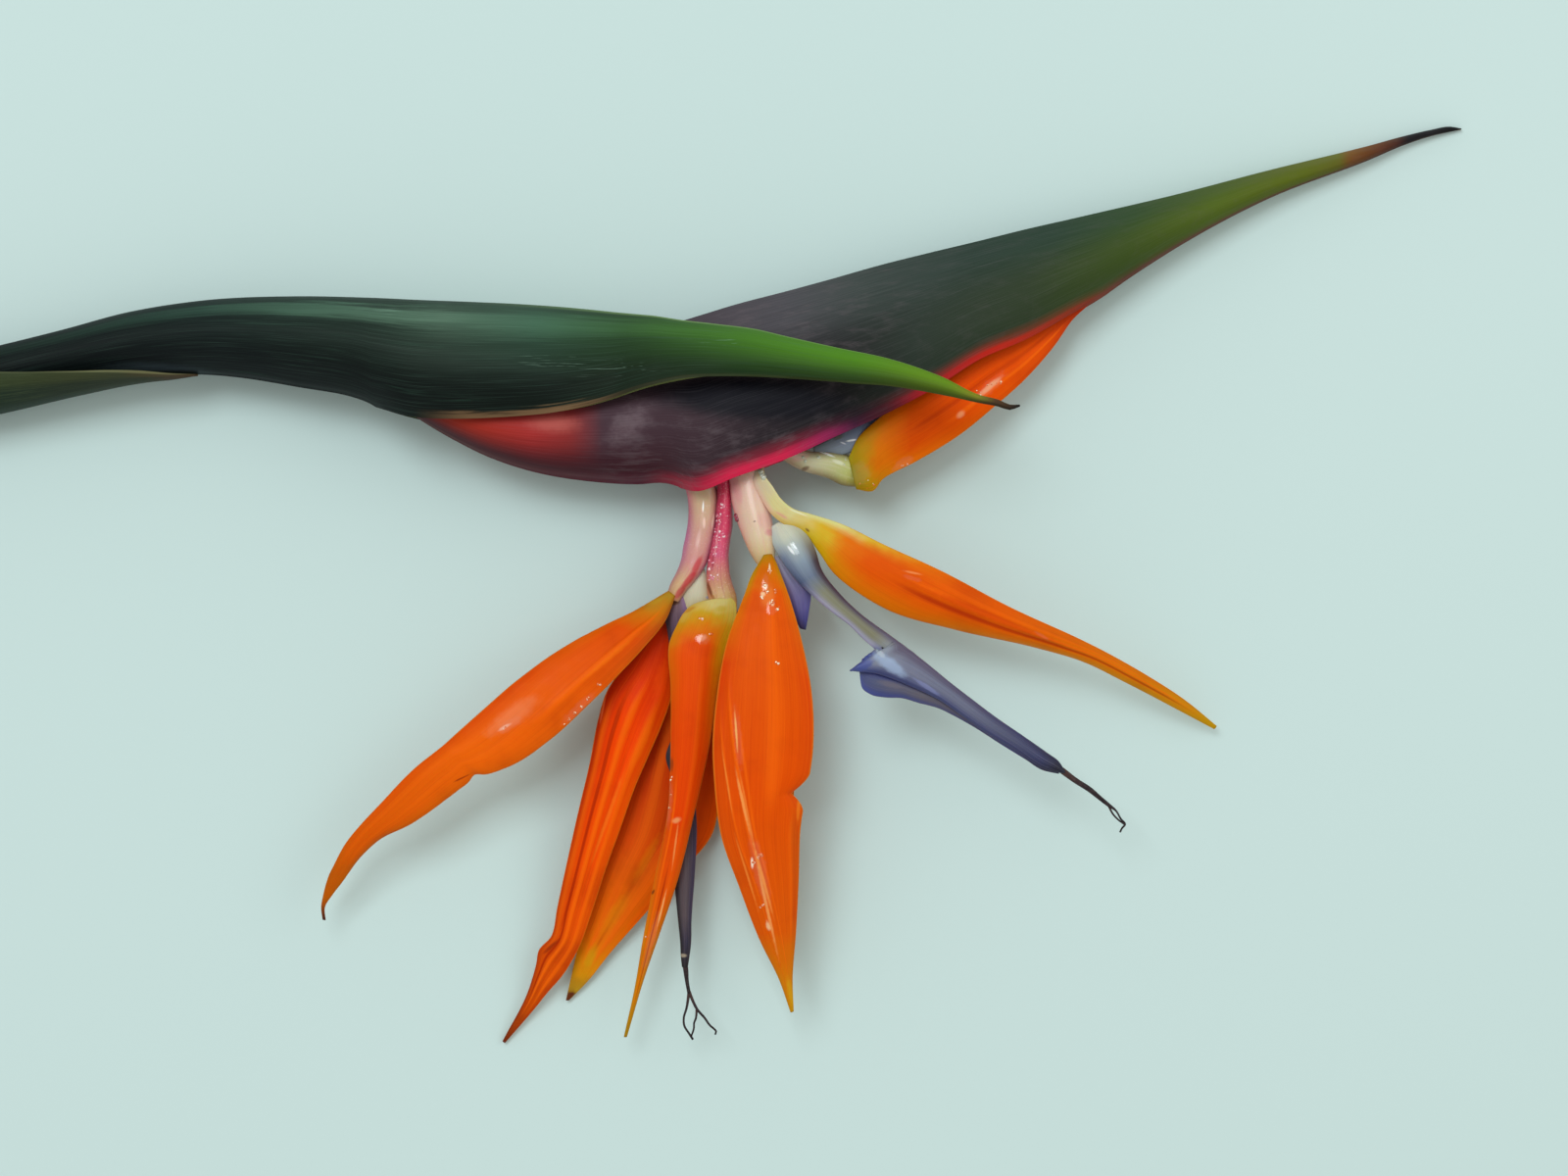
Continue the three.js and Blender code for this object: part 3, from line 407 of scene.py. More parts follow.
def sheet(name, outer, inner, uv, look, relief=None):
    """A closed sheet of two grids of like size, joined round their rim."""
    rows, columns = outer.shape[:2]
    count = rows * columns
    points = np.vstack([outer.reshape(-1, 3), inner.reshape(-1, 3)])
    faces = []
    for i in range(rows - 1):
        for j in range(columns - 1):
            a, b = i * columns + j, (i + 1) * columns + j
            faces.append((a, b, b + 1, a + 1))
            faces.append((count + a, count + a + 1, count + b + 1, count + b))
    rim = list(range(columns))
    rim += [i * columns + columns - 1 for i in range(1, rows)]
    rim += [(rows - 1) * columns + j for j in range(columns - 2, -1, -1)]
    rim += [i * columns for i in range(rows - 2, 0, -1)]
    for here, after in zip(rim, rim[1:] + rim[:1]):
        faces.append((here, after, count + after, count + here))
    values = {"inside": np.repeat([0.0, 1.0], count)}
    if relief is not None:
        values["relief"] = np.tile(relief.ravel(), 2)
    return lay_out(name, points, faces, np.tile(uv.reshape(-1, 2), (2, 1)), look, values)


def bract(name, rows, cell, columns, fullest, flatness, wall, keel_wall, look, solid_from=1000.0, waves=0.0):
    """A bract folded along its keel, with two walls that run down to a pair of margins. A row holds x, the
    keel's y and z, the foot's y and z, the half depth, and the y of the front and of the back margin."""
    fine = smooth_rows(rows, cell)
    x, keel_y, keel_z, foot_y, foot_z, depth, front_y, back_y = fine.T[:, :, None]
    j = np.arange(-columns, columns + 1)[None, :]
    height = foot_y - keel_y
    margin = np.where(j < 0, (front_y - keel_y) / height, (back_y - keel_y) / height)
    closed = margin > CLOSED_FROM
    margin = np.clip(margin, 0.0, WIDEST_MARGIN)
    s = margin * 0.5 * (1 - np.cos(np.pi * np.abs(j) / columns))
    bulge = np.sin(np.pi * np.maximum(s, 0.0) ** fullest) ** flatness
    pinch = np.where(closed, np.clip((1 - s) / PINCH_RUN, THINNEST_PINCH, 1.0), 1.0)
    side = -np.sign(j) * bulge * pinch
    thin = 1 - THINNING * np.clip((s / margin - THINNER_FROM) / (1 - THINNER_FROM), 0.0, 1.0)
    inner_depth = np.maximum(depth - wall * thin, SMALLEST_HOLLOW * depth)
    keel_inset = np.minimum(keel_wall, np.abs(height) * LARGEST_INSET) * np.sign(height)
    foot_inset = np.minimum(wall, np.abs(height) * LARGEST_INSET) * np.sign(height)
    middle = keel_z + (foot_z - keel_z) * s
    ripple = waves * np.sin(RIPPLE_TURN * x + RIPPLE_LAG * np.sign(j)) * (s / margin) ** RIPPLE_STEEPNESS
    along = np.broadcast_to(x, s.shape)
    outer_z = np.maximum(middle + side * depth + ripple, 0.0)
    inner_y = keel_y + keel_inset + (height - keel_inset - foot_inset) * s
    inner_z = np.maximum(middle + side * inner_depth + ripple, wall)
    outer = np.stack([along, keel_y + height * s, outer_z], axis=-1)
    inner = np.stack([along, inner_y, inner_z], axis=-1)
    hollow = np.clip((solid_from - x) / SOLID_RUN, 0.0, 1.0)[:, :, None]
    line = np.linspace(0.0, 1.0, 2 * columns + 1)[None, :, None]
    chord = inner[:, :1] * (1 - line) + inner[:, -1:] * line
    inner = inner * hollow + chord * (1 - hollow)
    share = along_share(np.hstack([x, keel_y]))[:, None]
    uv = np.stack(np.broadcast_arrays(share, 0.5 + 0.5 * np.sign(j) * s / margin), axis=-1)
    return sheet(name, outer, inner, uv, look)


def sheath_look():
    paint = Paint("sheath_olive", 0.65, specular=0.15)
    lines = paint.grained(7, 90, detail=6, rough=0.7)
    flecks = paint.grained(34, 210, detail=2)
    away = paint.apart(paint.v, 0.5)
    upper = paint.ramp(paint.u, "0 34401f, 60 303c22, 85 3a3e26, 93 4c3e26, 100 4c3420")
    lower = paint.ramp(paint.u, "0 26342c, 70 2c3c36, 93 3c4438, 100 3a2c20")
    paint.base = paint.ramp(paint.u, "0 1c2a1c, 60 1e2e22, 90 2a3020, 97 4a3420, 100 4a3420")
    paint.streak(away, 0.20, 0.38, 1.0, upper)
    paint.streak(lines, 0.48, 0.72, 0.40, "5a6844")
    paint.streak(lines, 0.46, 0.25, 0.40, "10180e")
    paint.streak(flecks, 0.60, 0.72, 0.55, "1a140c")
    paint.streak(away, 0.10, 0.0, 0.6, lower)
    paint.streak(away, 0.47, 0.495, 0.3, "6c7050")
    paint.lining(0.7, "8a8a60")
    return paint.finish(lines, 0.07, 0.6)


stem_sheath = bract(
    "sheath_bract", SHEATH_ROWS, cell=1.0, columns=26, fullest=1.0, flatness=0.5, wall=0.9, keel_wall=0.9,
    look=sheath_look(), waves=0.12,
)
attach(stem_sheath, "root")
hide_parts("stem_sheath")


# Spathes
# Two stiff leathery bracts folded along a keel, one inside the other. The outer one is almost black green
# and runs out into a lime beak with a dry curled tip. The inner one holds the flowers: it is red and purple
# with a waxy bloom and a bright pink margin, and runs out into a long olive beak with a dry black tip.
OUTER_SPATHE_ROWS = [
    [-116.5, 40, 7.8, 29.2, 7.8, 5.7, 29, 29], [-102, 42.9, 8.1, 32.6, 8.1, 5.5, 32.4, 32.4],
    [-95, 44.5, 8.5, 34.2, 8.5, 5.4, 34, 34], [-84, 47.2, 8.8, 36.3, 8.8, 5.8, 36.1, 36.1],
    [-71, 50.6, 9.2, 38.1, 9.2, 6.6, 38, 38], [-58, 52.6, 9.5, 38.7, 9.5, 7.5, 38.5, 38.5],
    [-40, 53.3, 11, 36.3, 11, 9.5, 36.1, 36.1], [-27, 53, 11.7, 33.4, 11.7, 10.8, 33.2, 33.2],
    [-16.5, 52.5, 12.2, 26, 12.2, 12, 30.5, 30.5], [-9, 52.2, 12.5, 24, 12.5, 12.9, 30.2, 29.6],
    [0, 51.8, 12.6, 22.9, 12.6, 13.4, 30.5, 31.3], [9, 51.2, 12.6, 19.3, 12.6, 13.3, 31.3, 36],
    [14.5, 50.7, 12.6, 17.5, 12.8, 12.8, 32.5, 40.4], [19, 50.2, 13, 18.6, 14.2, 12, 33.8, 46],
    [23, 49.7, 15, 20, 16.4, 11, 35.2, 48], [26.5, 49.2, 17.4, 22.2, 18.2, 9.6, 36.2, 48.7],
    [30.5, 48.5, 18.4, 24.4, 20.6, 8, 37.1, 48], [37.5, 47.6, 19.5, 32.9, 23.5, 5.5, 37.6, 46.8],
    [44.7, 46.5, 22, 35.8, 25.5, 4.5, 37.5, 45], [50.2, 45.1, 23.8, 36.9, 27, 3.4, 37.2, 41.7],
    [59.5, 42.9, 25.4, 36.3, 28.2, 2.9, 36.5, 36.7], [69, 40.8, 26.6, 35.5, 29, 2.6, 35.7, 35.8],
    [78.4, 37.5, 28, 34, 29.3, 2, 34.1, 34.2], [85.4, 34.1, 28.8, 32.5, 29.6, 1.2, 32.6, 32.6],
    [88.6, 33.3, 29, 31.9, 29.6, 0.8, 32, 32], [90.6, 32.4, 29.2, 31.3, 29.6, 0.7, 31.4, 31.4],
    [92.4, 32.4, 29.3, 31.9, 29.6, 0.4, 32, 32],
]
INNER_SPATHE_ROWS = [
    [-23, 37.8, 12, 34.6, 12, 1.8, 34.7, 34.7], [-17, 38.1, 12, 30.2, 12, 4.4, 30.3, 30.3],
    [-10.5, 38.5, 12, 26.3, 12, 6.6, 26.4, 26.4], [-4, 39, 12, 23.1, 12, 8.2, 23.2, 23.2],
    [5, 41.3, 12, 20.2, 12, 9.6, 20.4, 20.4], [14, 44.1, 12, 18.7, 12, 10.4, 18.9, 18.9],
    [23, 46.2, 12, 18.1, 12, 10.8, 18.3, 18.3], [28, 47.7, 12, 18.3, 12, 10.9, 18.6, 18.6],
    [30.3, 48.4, 12, 17.7, 12, 11, 18, 18], [34.2, 49.6, 12, 13.9, 12, 11.2, 17.1, 17.3],
    [41, 51.7, 11.8, 14.2, 11.8, 11.4, 19.6, 19.9], [50, 54.1, 11.2, 17, 11.2, 11.2, 22.8, 23.2],
    [59, 56.6, 10.6, 21.1, 10.6, 10.6, 26.9, 27.4], [68, 59.2, 10, 25.7, 10, 9.9, 31, 31.4],
    [77, 61.5, 9.4, 30.8, 9.4, 9.2, 35.7, 34.5], [86, 63.7, 8.8, 36.6, 8.8, 8.4, 41.4, 40.3],
    [95, 66, 8, 42.4, 8, 7.6, 45.4, 44.9], [104.4, 68.2, 7.2, 49.4, 7.2, 6.6, 50.8, 50.6],
    [109, 69.3, 6.8, 53, 6.8, 6, 53.3, 53.3], [122.7, 72.6, 5.6, 62.3, 5.6, 4.6, 62.5, 62.5],
    [141, 77.5, 4, 72.2, 4, 3, 72.3, 72.3], [160, 82.3, 2.3, 79.6, 2.3, 1.6, 79.7, 79.7],
    [166, 84, 1.6, 82.2, 1.6, 1.1, 82.3, 82.3], [171, 85.2, 1.2, 83.9, 1.2, 0.9, 84, 84],
    [175, 85.9, 0.8, 84.9, 0.8, 0.6, 84.95, 84.95], [177, 85.6, 0.5, 85.3, 0.5, 0.4, 85.35, 85.35],
]
OUTER_SPATHE_ENDS = (-116, 92)
INNER_SPATHE_ENDS = (-23, 177)
SCRATCHES = [(14, 39.6, 19, 2.4, -4), (37.6, 43.9, 7, 1.3, -6), (-20, 49.6, 12, 1.6, -3)]


def outer_spathe_look():
    paint = Paint("spathe_green", 0.6, specular=0.10)
    share = paint.x_share(*OUTER_SPATHE_ENDS)
    away = paint.apart(paint.v, 0.5, 2.0)
    fibre = paint.grained(12, 320, detail=2)
    brush = paint.grained(7, 44, detail=6, rough=0.7)
    edge = paint.wavering(away, brush, 0.26)
    wall = paint.ramp(
        share,
        "0 080d10, 30 0a1013, 50 0a1210, 60 0c1611, 68 10200f, 76 182f12, 86 2a4216, 95 46560c, 97.5 3a2814, "
        "100 1c1412",
    )
    band = paint.ramp(
        share,
        "0 0b1513, 14 12231d, 28 263f35, 38 42604f, 50 54705e, 58 446852, 66 365a30, 77 44761e, 86 508618, "
        "94 688e18, 96.5 8a8a20, 98 5a3c24, 100 1c1412",
    )
    # Painted light: the lighter band ramp laid just under the keel is a painted highlight where the wall
    # faces the light. The near black wall ramp below it is the bract's own dark green, partly painted shade
    # where the wall turns down. Over the beak the upper half takes the lighter ramp and the lower half the
    # darker one: the same painted light over its lime colour.
    narrow = paint.times(paint.ease(edge, 0.06, 0.15, 0.22, 1.0), paint.ease(edge, 0.18, 0.29, 1.0, 0.14))
    broad = paint.times(paint.ease(edge, 0.03, 0.16, 0.42, 1.0), paint.ease(edge, 0.20, 0.40, 1.0, 0.34))
    wide = paint.ease(share, 0.42, 0.60)
    slim = paint.ease(wide, 0.0, 1.0, 1.0, 0.0)
    painted_highlight_line = paint.plus(paint.times(broad, wide), paint.times(narrow, slim))
    paint.base = paint.mix(paint.times(painted_highlight_line, paint.ease(edge, 0.32, 0.80, 1.0, 0.0)), wall, band)
    paint.streak(share, 0.64, 0.80, 1.0, paint.mix(paint.ease(edge, 0.95, 0.15), wall, band))
    paint.streak(brush, 0.54, 0.74, 0.14, "5c8a74")
    paint.streak(fibre, 0.5, 0.75, 0.10, "6f9484")
    paint.streak(fibre, 0.5, 0.3, 0.20, "060c0a")
    # A thin painted highlight along the keel's rounded top.
    keel = paint.times(paint.ease(away, 0.04, 0.012), paint.ease(share, 0.50, 0.70, 0.0, 0.45))
    paint.wash(keel, "8fb06a")
    dry = paint.times(paint.ease(edge, 0.93, 0.985), paint.ease(share, 0.47, 0.53, 0.0, 0.75))
    paint.wash(paint.times(dry, paint.ease(share, 0.67, 0.60, 0.1)), "846648")
    # A painted sheen: a paler bluish grey patch on the lower wall just above the sheath's tip.
    paint.mark([(-66, 39.2, 13, 2.2, -2, 0.55, "4c5a64")], soft=0.9, ragged=0.2)
    scratch = paint.noise(paint.stretched(paint.mm, (0.11, 4.6, 1), turn=-4), detail=3)
    paint.wash(paint.times(paint.ease(scratch, 0.60, 0.70, 0.0, 0.38), paint.spots(SCRATCHES)), "8cb09c")
    paint.lining(0.8, "7c8a52")
    return paint.finish(fibre, 0.04, 0.5, paint.ease(brush, 0.3, 0.8, 0.52, 0.68))


def inner_spathe_look():
    paint = Paint("spathe_purple", 0.6, specular=0.14)
    share = paint.x_share(*INNER_SPATHE_ENDS)
    away = paint.apart(paint.v, 0.5, 2.0)
    fibre = paint.grained(12, 320, detail=2)
    brush = paint.grained(8, 40, detail=6, rough=0.7)
    cloud = paint.noise(paint.stretched(paint.mm, (0.16, 0.34, 1), turn=14), detail=6, rough=0.66)
    edge = paint.wavering(away, brush, 0.07)
    wall = paint.ramp(
        share,
        "-23 50180e, -10 a02a16, 4 a82e2c, 11 8c2c2c, 17 47303a, 34 3c2a32, 46 2a2228, 60 1c1b1d, 74 27322a, "
        "95 2d3b25, 114 3a4e18, 130 4e6216, 147 586410, 153.5 5c5c14, 155.5 6e4418, 161 5a3016, "
        "164.5 462418, 166.5 140e12, 177 0a080b",
        *INNER_SPATHE_ENDS,
    )
    band = paint.ramp(
        share,
        "-23 6a2a20, 24 4a3c46, 50 4c4a50, 64 3e4644, 85 2c3c34, 100 2b3f32, 115 324a2a, 132 4a5c24, "
        "153.5 666a24, 155.5 7c5422, 161 683e24, 164.5 50301f, 166.5 1c151a, 177 0a080b",
        *INNER_SPATHE_ENDS,
    )
    margin = paint.ramp(
        share,
        "-23 4a140c, 10 541626, 24 581830, 32 a8203c, 40 e02450, 50 dc2450, 57 a02458, 63 5c2048, 68 7a1a34, "
        "76 b81c24, 90 cc2410, 103 983010, 113 64301c, 146 5a3418, 154 57301c, 177 120d0f",
        *INNER_SPATHE_ENDS,
    )
    paint.base = paint.mix(paint.ease(edge, 0.55, 0.10), wall, band)
    paint.wash(paint.times(paint.ease(edge, 0.66, 0.96), paint.ease(share, 0.30, 0.22)), "3c1420")
    paint.wash(paint.times(paint.ease(edge, 0.84, 0.985), paint.ease(share, 0.24, 0.31, 0.0, 0.5)), margin)
    paint.streak(edge, 0.915, 0.975, 1.0, margin)
    paint.mark([(8, 29.4, 7, 2.6, -4, 0.5, "d06c62")], soft=0.9, ragged=0.3)
    bloom = paint.times(paint.ease(cloud, 0.46, 0.72, 0.0, 0.30), paint.ease(share, 0.17, 0.23))
    paint.wash(paint.times(bloom, paint.ease(share, 0.52, 0.38, 0.25)), "6e6268")
    patch = paint.spot(22, 29.5, 7.5, 3.8, turn=40, soft=0.9, ragged=0.7)
    paint.wash(paint.times(patch, paint.ease(cloud, 0.3, 0.6, 0.0, 0.3)), "8c7880")
    # Painted shadow: the near black oval is the outer spathe's shadow on the inner spathe under its beak, and
    # the smaller dark oval after it is a weaker painted shadow further along.
    paint.mark([(44, 33.9, 24, 5.2, -4, 0.93, "090b16")], soft=0.55, ragged=0.15)
    paint.mark([(66, 31.2, 11, 2.6, 14, 0.6, "120c12")], soft=0.8, ragged=0.2)
    paint.streak(fibre, 0.5, 0.75, 0.07, "8c8890")
    paint.streak(fibre, 0.5, 0.3, 0.18, "0a080a")
    paint.lining(0.85, "c8a080")
    return paint.finish(fibre, 0.04, 0.5, paint.ease(brush, 0.3, 0.8, 0.52, 0.68))


for node, rows, fullest, solid_from, look, slot in (
    ("outer_spathe", OUTER_SPATHE_ROWS, 0.9, 84, outer_spathe_look(), "spathe_green"),
    ("inner_spathe", INNER_SPATHE_ROWS, 1.27, 150, inner_spathe_look(), "spathe_purple"),
):
    piece = bract(
        f"{node}_bract", rows, cell=1.0, columns=36, fullest=fullest, flatness=0.7, wall=1.0, keel_wall=1.6,
        look=look, solid_from=solid_from,
    )
    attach(piece, "root")
    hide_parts(node)


# Ovaries
# The fleshy tubes on which the flowers stand. They come out between the margins of the inner spathe, moist
# and glassy with nectar: pink at the edges and cream between, the second one deep pink.
OVARY_1_ROWS = [
    [12, 27, 11, 1.6, 1.6], [24, 26, 11, 2, 2], [30, 23.2, 11, 2.2, 2.2], [34.2, 19.2, 11, 2.7, 2.3],
    [35.1, 16.5, 11, 2.85, 2.3], [35.15, 13.8, 11, 2.7, 2.3], [34.95, 11.1, 11.1, 2.65, 2.3],
    [34.5, 8.4, 11.2, 2.65, 2.2], [34.05, 6.6, 11.3, 2.6, 2.2], [33.6, 4.8, 11.4, 2.45, 2.1],
    [32.8, 3, 11.5, 2.15, 2], [31.7, 1.2, 11.5, 1.85, 1.8], [30.5, -0.6, 11.6, 1.6, 1.5],
    [29.5, -2.8, 11.7, 1.3, 1.1],
]
OVARY_2_ROWS = [
    [10, 32, 11.5, 1.6, 1.6], [25, 31, 11.5, 1.8, 1.8], [35.5, 25.6, 11.5, 1.8, 1.8],
    [38.8, 19.6, 11.8, 1.35, 1.9], [39.1, 16.5, 11.9, 1.4, 1.9], [39.05, 13.8, 12, 1.55, 2],
    [39, 11.1, 12, 1.6, 2], [38.5, 8.4, 12, 1.7, 2], [38.1, 5.7, 12, 1.8, 2], [37.95, 3.9, 12, 2, 1.9],
    [38, 1.2, 12, 2.25, 1.7], [38.3, -0.6, 12, 2.45, 1.5], [38.8, -2.6, 12.2, 2.6, 1.4],
    [39, -4.8, 12.4, 2.4, 1.2],
]
OVARY_3_ROWS = [
    [14, 37, 12.5, 1.6, 1.8], [30, 35.5, 12.8, 2, 2.2], [40, 28.6, 13, 2.3, 2.5],
    [43.2, 19.6, 13.3, 3.2, 2.5], [43.9, 15.6, 14, 3.4, 2.5], [45.2, 10.2, 15, 3, 2.2],
    [46.3, 6, 15.6, 2.3, 1.7], [46.9, 3.6, 15.8, 1.5, 1.1],
]
OVARY_4_ROWS = [
    [25, 41, 12, 1.6, 1.6], [36, 38, 12, 1.8, 1.8], [47.3, 27.6, 12, 2.1, 2.1], [53.8, 23, 12, 1.9, 2.1],
    [58.8, 22.1, 11.6, 2.5, 2], [61.8, 21.1, 11, 2.8, 1.7], [64.2, 20.2, 10.6, 2.2, 1.2],
]


def ovary_look(name, middle, edges, lines, marks=(), grit=0.0):
    """Colours along the middle and the edges of an ovary, the colour of its fine lines, its marks, and how
    much dried nectar roughens it."""
    paint = Paint(name, 0.34, flesh=0.22, coat=0.30, specular=0.35)
    front = paint.apart(paint.v, 0.25, 4.0)
    grain = paint.noise(paint.mm, 3.2, detail=3)
    paint.base = paint.ramp(paint.u, middle)
    paint.streak(front, 0.2, 0.95, 1.0, paint.ramp(paint.u, edges))
    paint.streak(paint.grained(3, 26, detail=4), 0.5, 0.74, 0.45, lines)
    # Pale specks over the skin: painted glints, made stronger by grit where dried nectar sugar roughens it.
    paint.streak(grain, 0.55, 0.8, 0.18 + grit, "ffece4")
    paint.mark(marks, soft=0.6, ragged=0.35)
    return paint.finish(grain, 0.10 + 0.3 * grit, 0.4)


ovary_1_look = ovary_look(
    "ovary_1_pink",
    middle="0 c88878, 45 ccac88, 60 ceb08c, 72 cf9c8c, 84 d0908a, 92 ceaa80, 100 c8a070",
    edges="0 c04a52, 45 c45468, 62 bc5c72, 75 b85a92, 88 bc6c80, 100 b87c60",
    lines="cc6478",
    marks=[
        # The near-white streaks at (35.1, 14.4), (35.3, 11.4) and (36.9, 11.6) are painted highlights.
        (34, 3.6, 2.6, 0.75, 62, 0.8, "c83040"), (32.6, 1, 3, 0.8, 50, 0.85, "c83040"),
        (30.8, -1.4, 2.4, 0.8, 55, 0.8, "b82c38"), (35.1, 14.4, 1.3, 0.2, 86, 0.95, "ffffff"),
        (35.3, 11.4, 1.3, 0.36, 88, 0.7, "f8d4c4"), (36.9, 11.6, 1.9, 0.24, 82, 0.7, "f4dcc8"),
        (34.2, 8.6, 2, 0.5, 78, 0.3, "ecc8c0"),
    ],
)
ovary_2_look = ovary_look(
    "ovary_2_rose",
    middle="0 b03858, 50 d03c62, 62 cc244e, 74 d43a62, 82 d65478, 88 d08878, 94 d0a878, 100 c8ae50",
    edges="0 a82c4c, 50 b83458, 75 b83c60, 86 c84c60, 93 c87858, 100 bca040",
    lines="a82450",
    marks=[
        (36.3, -0.9, 2.2, 0.42, 108, 0.9, "7a3a10"), (37, -2.4, 1, 0.4, 120, 0.7, "a8641c"),
        (37.6, 8, 5, 0.25, 82, 0.5, "f0a0a8"), (36.9, 4.2, 2.2, 0.35, 85, 0.75, "a82446"),
    ],
    grit=0.35,
)
ovary_3_look = ovary_look(
    "ovary_3_pink",
    middle="0 d0988c, 50 e0b0a4, 72 e0b6a6, 90 dcc4a4, 100 c8b070",
    edges="0 c86078, 60 d87c90, 86 d89c90, 100 c8a870",
    lines="dca49c",
    marks=[
        (44.6, 11.6, 0.35, 0.18, 10, 0.8, "6a4a40"), (46.4, 11.6, 1.6, 2.6, 20, 0.45, "dc9898"),
        (41.4, 17.6, 1, 4, 12, 0.4, "d87888"), (47.6, 9.6, 1.4, 0.9, 0, 0.5, "c8607c"),
    ],
)
ovary_4_look = ovary_look(
    "ovary_4_cream",
    middle="0 c0a070, 60 c8b890, 80 c4c09c, 93 b8bc70, 100 a8a428",
    edges="0 b8545c, 60 c89080, 75 c0ac88, 90 8c7c50, 100 8a7a2c",
    lines="d4ceb0",
    marks=[
        # The white streak at (57.4, 24.3) is a painted highlight along the upper edge.
        (53.9, 21.4, 1, 0.5, 20, 0.8, "7a6048"), (57.4, 24.3, 2.6, 0.28, -22, 0.9, "ffffff"),
        (53, 23.6, 2.6, 1.2, 20, 0.5, "d8a0a0"), (60, 22.6, 1.6, 0.5, -20, 0.5, "e8ecd8"),
    ],
)
for number, rows, look, slot in (
    (1, OVARY_1_ROWS, ovary_1_look, "ovary_pink"),
    (2, OVARY_2_ROWS, ovary_2_look, "ovary_rose"),
    (3, OVARY_3_ROWS, ovary_3_look, "ovary_pink"),
    (4, OVARY_4_ROWS, ovary_4_look, "ovary_cream"),
):
    piece = tube(f"ovary_tube_{number}", rows, cell=0.4, sides=32, look=look, lobes=0.05)
    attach(piece, "root")
    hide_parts(f"flower_{number}_ovary")


# Sepals
# The orange blades, three to a flower. Each is one thick moist leaf, arched across, with lengthwise folds,
# close parallel veins, a yellow base where nectar wets it and a narrow tip. They grow from the ovary's end.
SEPAL_THICKNESS = 0.8
EVEN_SPACING = 0.6
ARCH_ROUNDNESS = 0.85
FOLD_END_RUN = 0.1
FULL_RELIEF_WIDTH = 8.0
FLUTTER_TURN = 0.9
FLUTTER_LAG = 2.5
FLUTTER_STEEPNESS = 4
BITE_FROM = 0.68
BITE_STEEPNESS = 1.6
THIN_EDGE = 0.35


def blade(
    name, edges, look, folds=(), bites=(), thickness=SEPAL_THICKNESS, cell=0.6, columns=32, ridge=False,
    flutter=0.0,
):
    """An arched blade. A row of its edges holds a point of the left edge, one of the right edge and how high
    it arches between them. Folds are lines of relief along it: the share across it where each starts and
    ends, its half width as a share, its height in mm, and where along the blade it starts and ends. Bites
    are notches in its right edge: their place and half length along it and their depth, all as shares."""
    fine = smooth_rows(edges, cell)
    left, right, crown = fine[:, :3], fine[:, 3:6], fine[:, 6:]
    centre = (left + right) / 2
    length = np.linalg.norm(np.diff(centre, axis=0), axis=1).sum()
    share = along_share(centre)[:, None]
    up = np.cross(np.gradient(centre, axis=0), right - left)
    up /= np.linalg.norm(up, axis=1)[:, None]
    up *= np.sign(up[:, 2:])
    even = np.linspace(0.0, 1.0, columns + 1)[None, :]
    v = EVEN_SPACING * even + (1 - EVEN_SPACING) * (0.5 - 0.5 * np.cos(np.pi * even))
    arch = 4 * v * (1 - v)
    from_middle = np.abs(2 * v - 1)
    shape = 1 - from_middle if ridge else arch ** ARCH_ROUNDNESS
    relief = np.zeros((len(fine), columns + 1))
    for start, end, width, height, first, last in folds:
        window = np.clip((share - first) / FOLD_END_RUN, 0, 1) * np.clip((last - share) / FOLD_END_RUN, 0, 1)
        middle = start + (end - start) * share
        relief += height * window * np.exp(-(((v - middle) / width) ** 2))
    room = np.minimum(1.0, np.linalg.norm(right - left, axis=1) / FULL_RELIEF_WIDTH)[:, None]
    wave = flutter * np.sin(share * length * FLUTTER_TURN + FLUTTER_LAG * (v > 0.5))
    wave = wave * from_middle ** FLUTTER_STEEPNESS
    lift = crown * shape + (relief + wave) * room
    place = np.broadcast_to(v, lift.shape)
    for middle, half, depth in bites:
        push = depth * np.clip(1 - np.abs(share - middle) / half, 0.0, 1.0) ** BITE_STEEPNESS
        pulled_in = BITE_FROM + (place - BITE_FROM) * (1 - push / (1 - BITE_FROM))
        place = np.where(place > BITE_FROM, pulled_in, place)
    outer = left[:, None] + (right - left)[:, None] * place[:, :, None] + up[:, None] * lift[:, :, None]
    normal = np.cross(np.gradient(outer, axis=0), np.gradient(outer, axis=1))
    normal /= np.maximum(np.linalg.norm(normal, axis=2), 1e-9)[:, :, None]
    normal *= np.sign(normal[:, :, 2:])
    inner = outer - normal * thickness * (THIN_EDGE + (1 - THIN_EDGE) * np.sqrt(arch))[:, :, None]
    inner[:, :, 2] = np.maximum(inner[:, :, 2], 0.0)
    uv = np.stack(np.broadcast_arrays(share, v), axis=-1)
    highest = max((abs(fold[3]) for fold in folds), default=1.0)
    return sheet(name, outer, inner, uv, look, relief / highest)


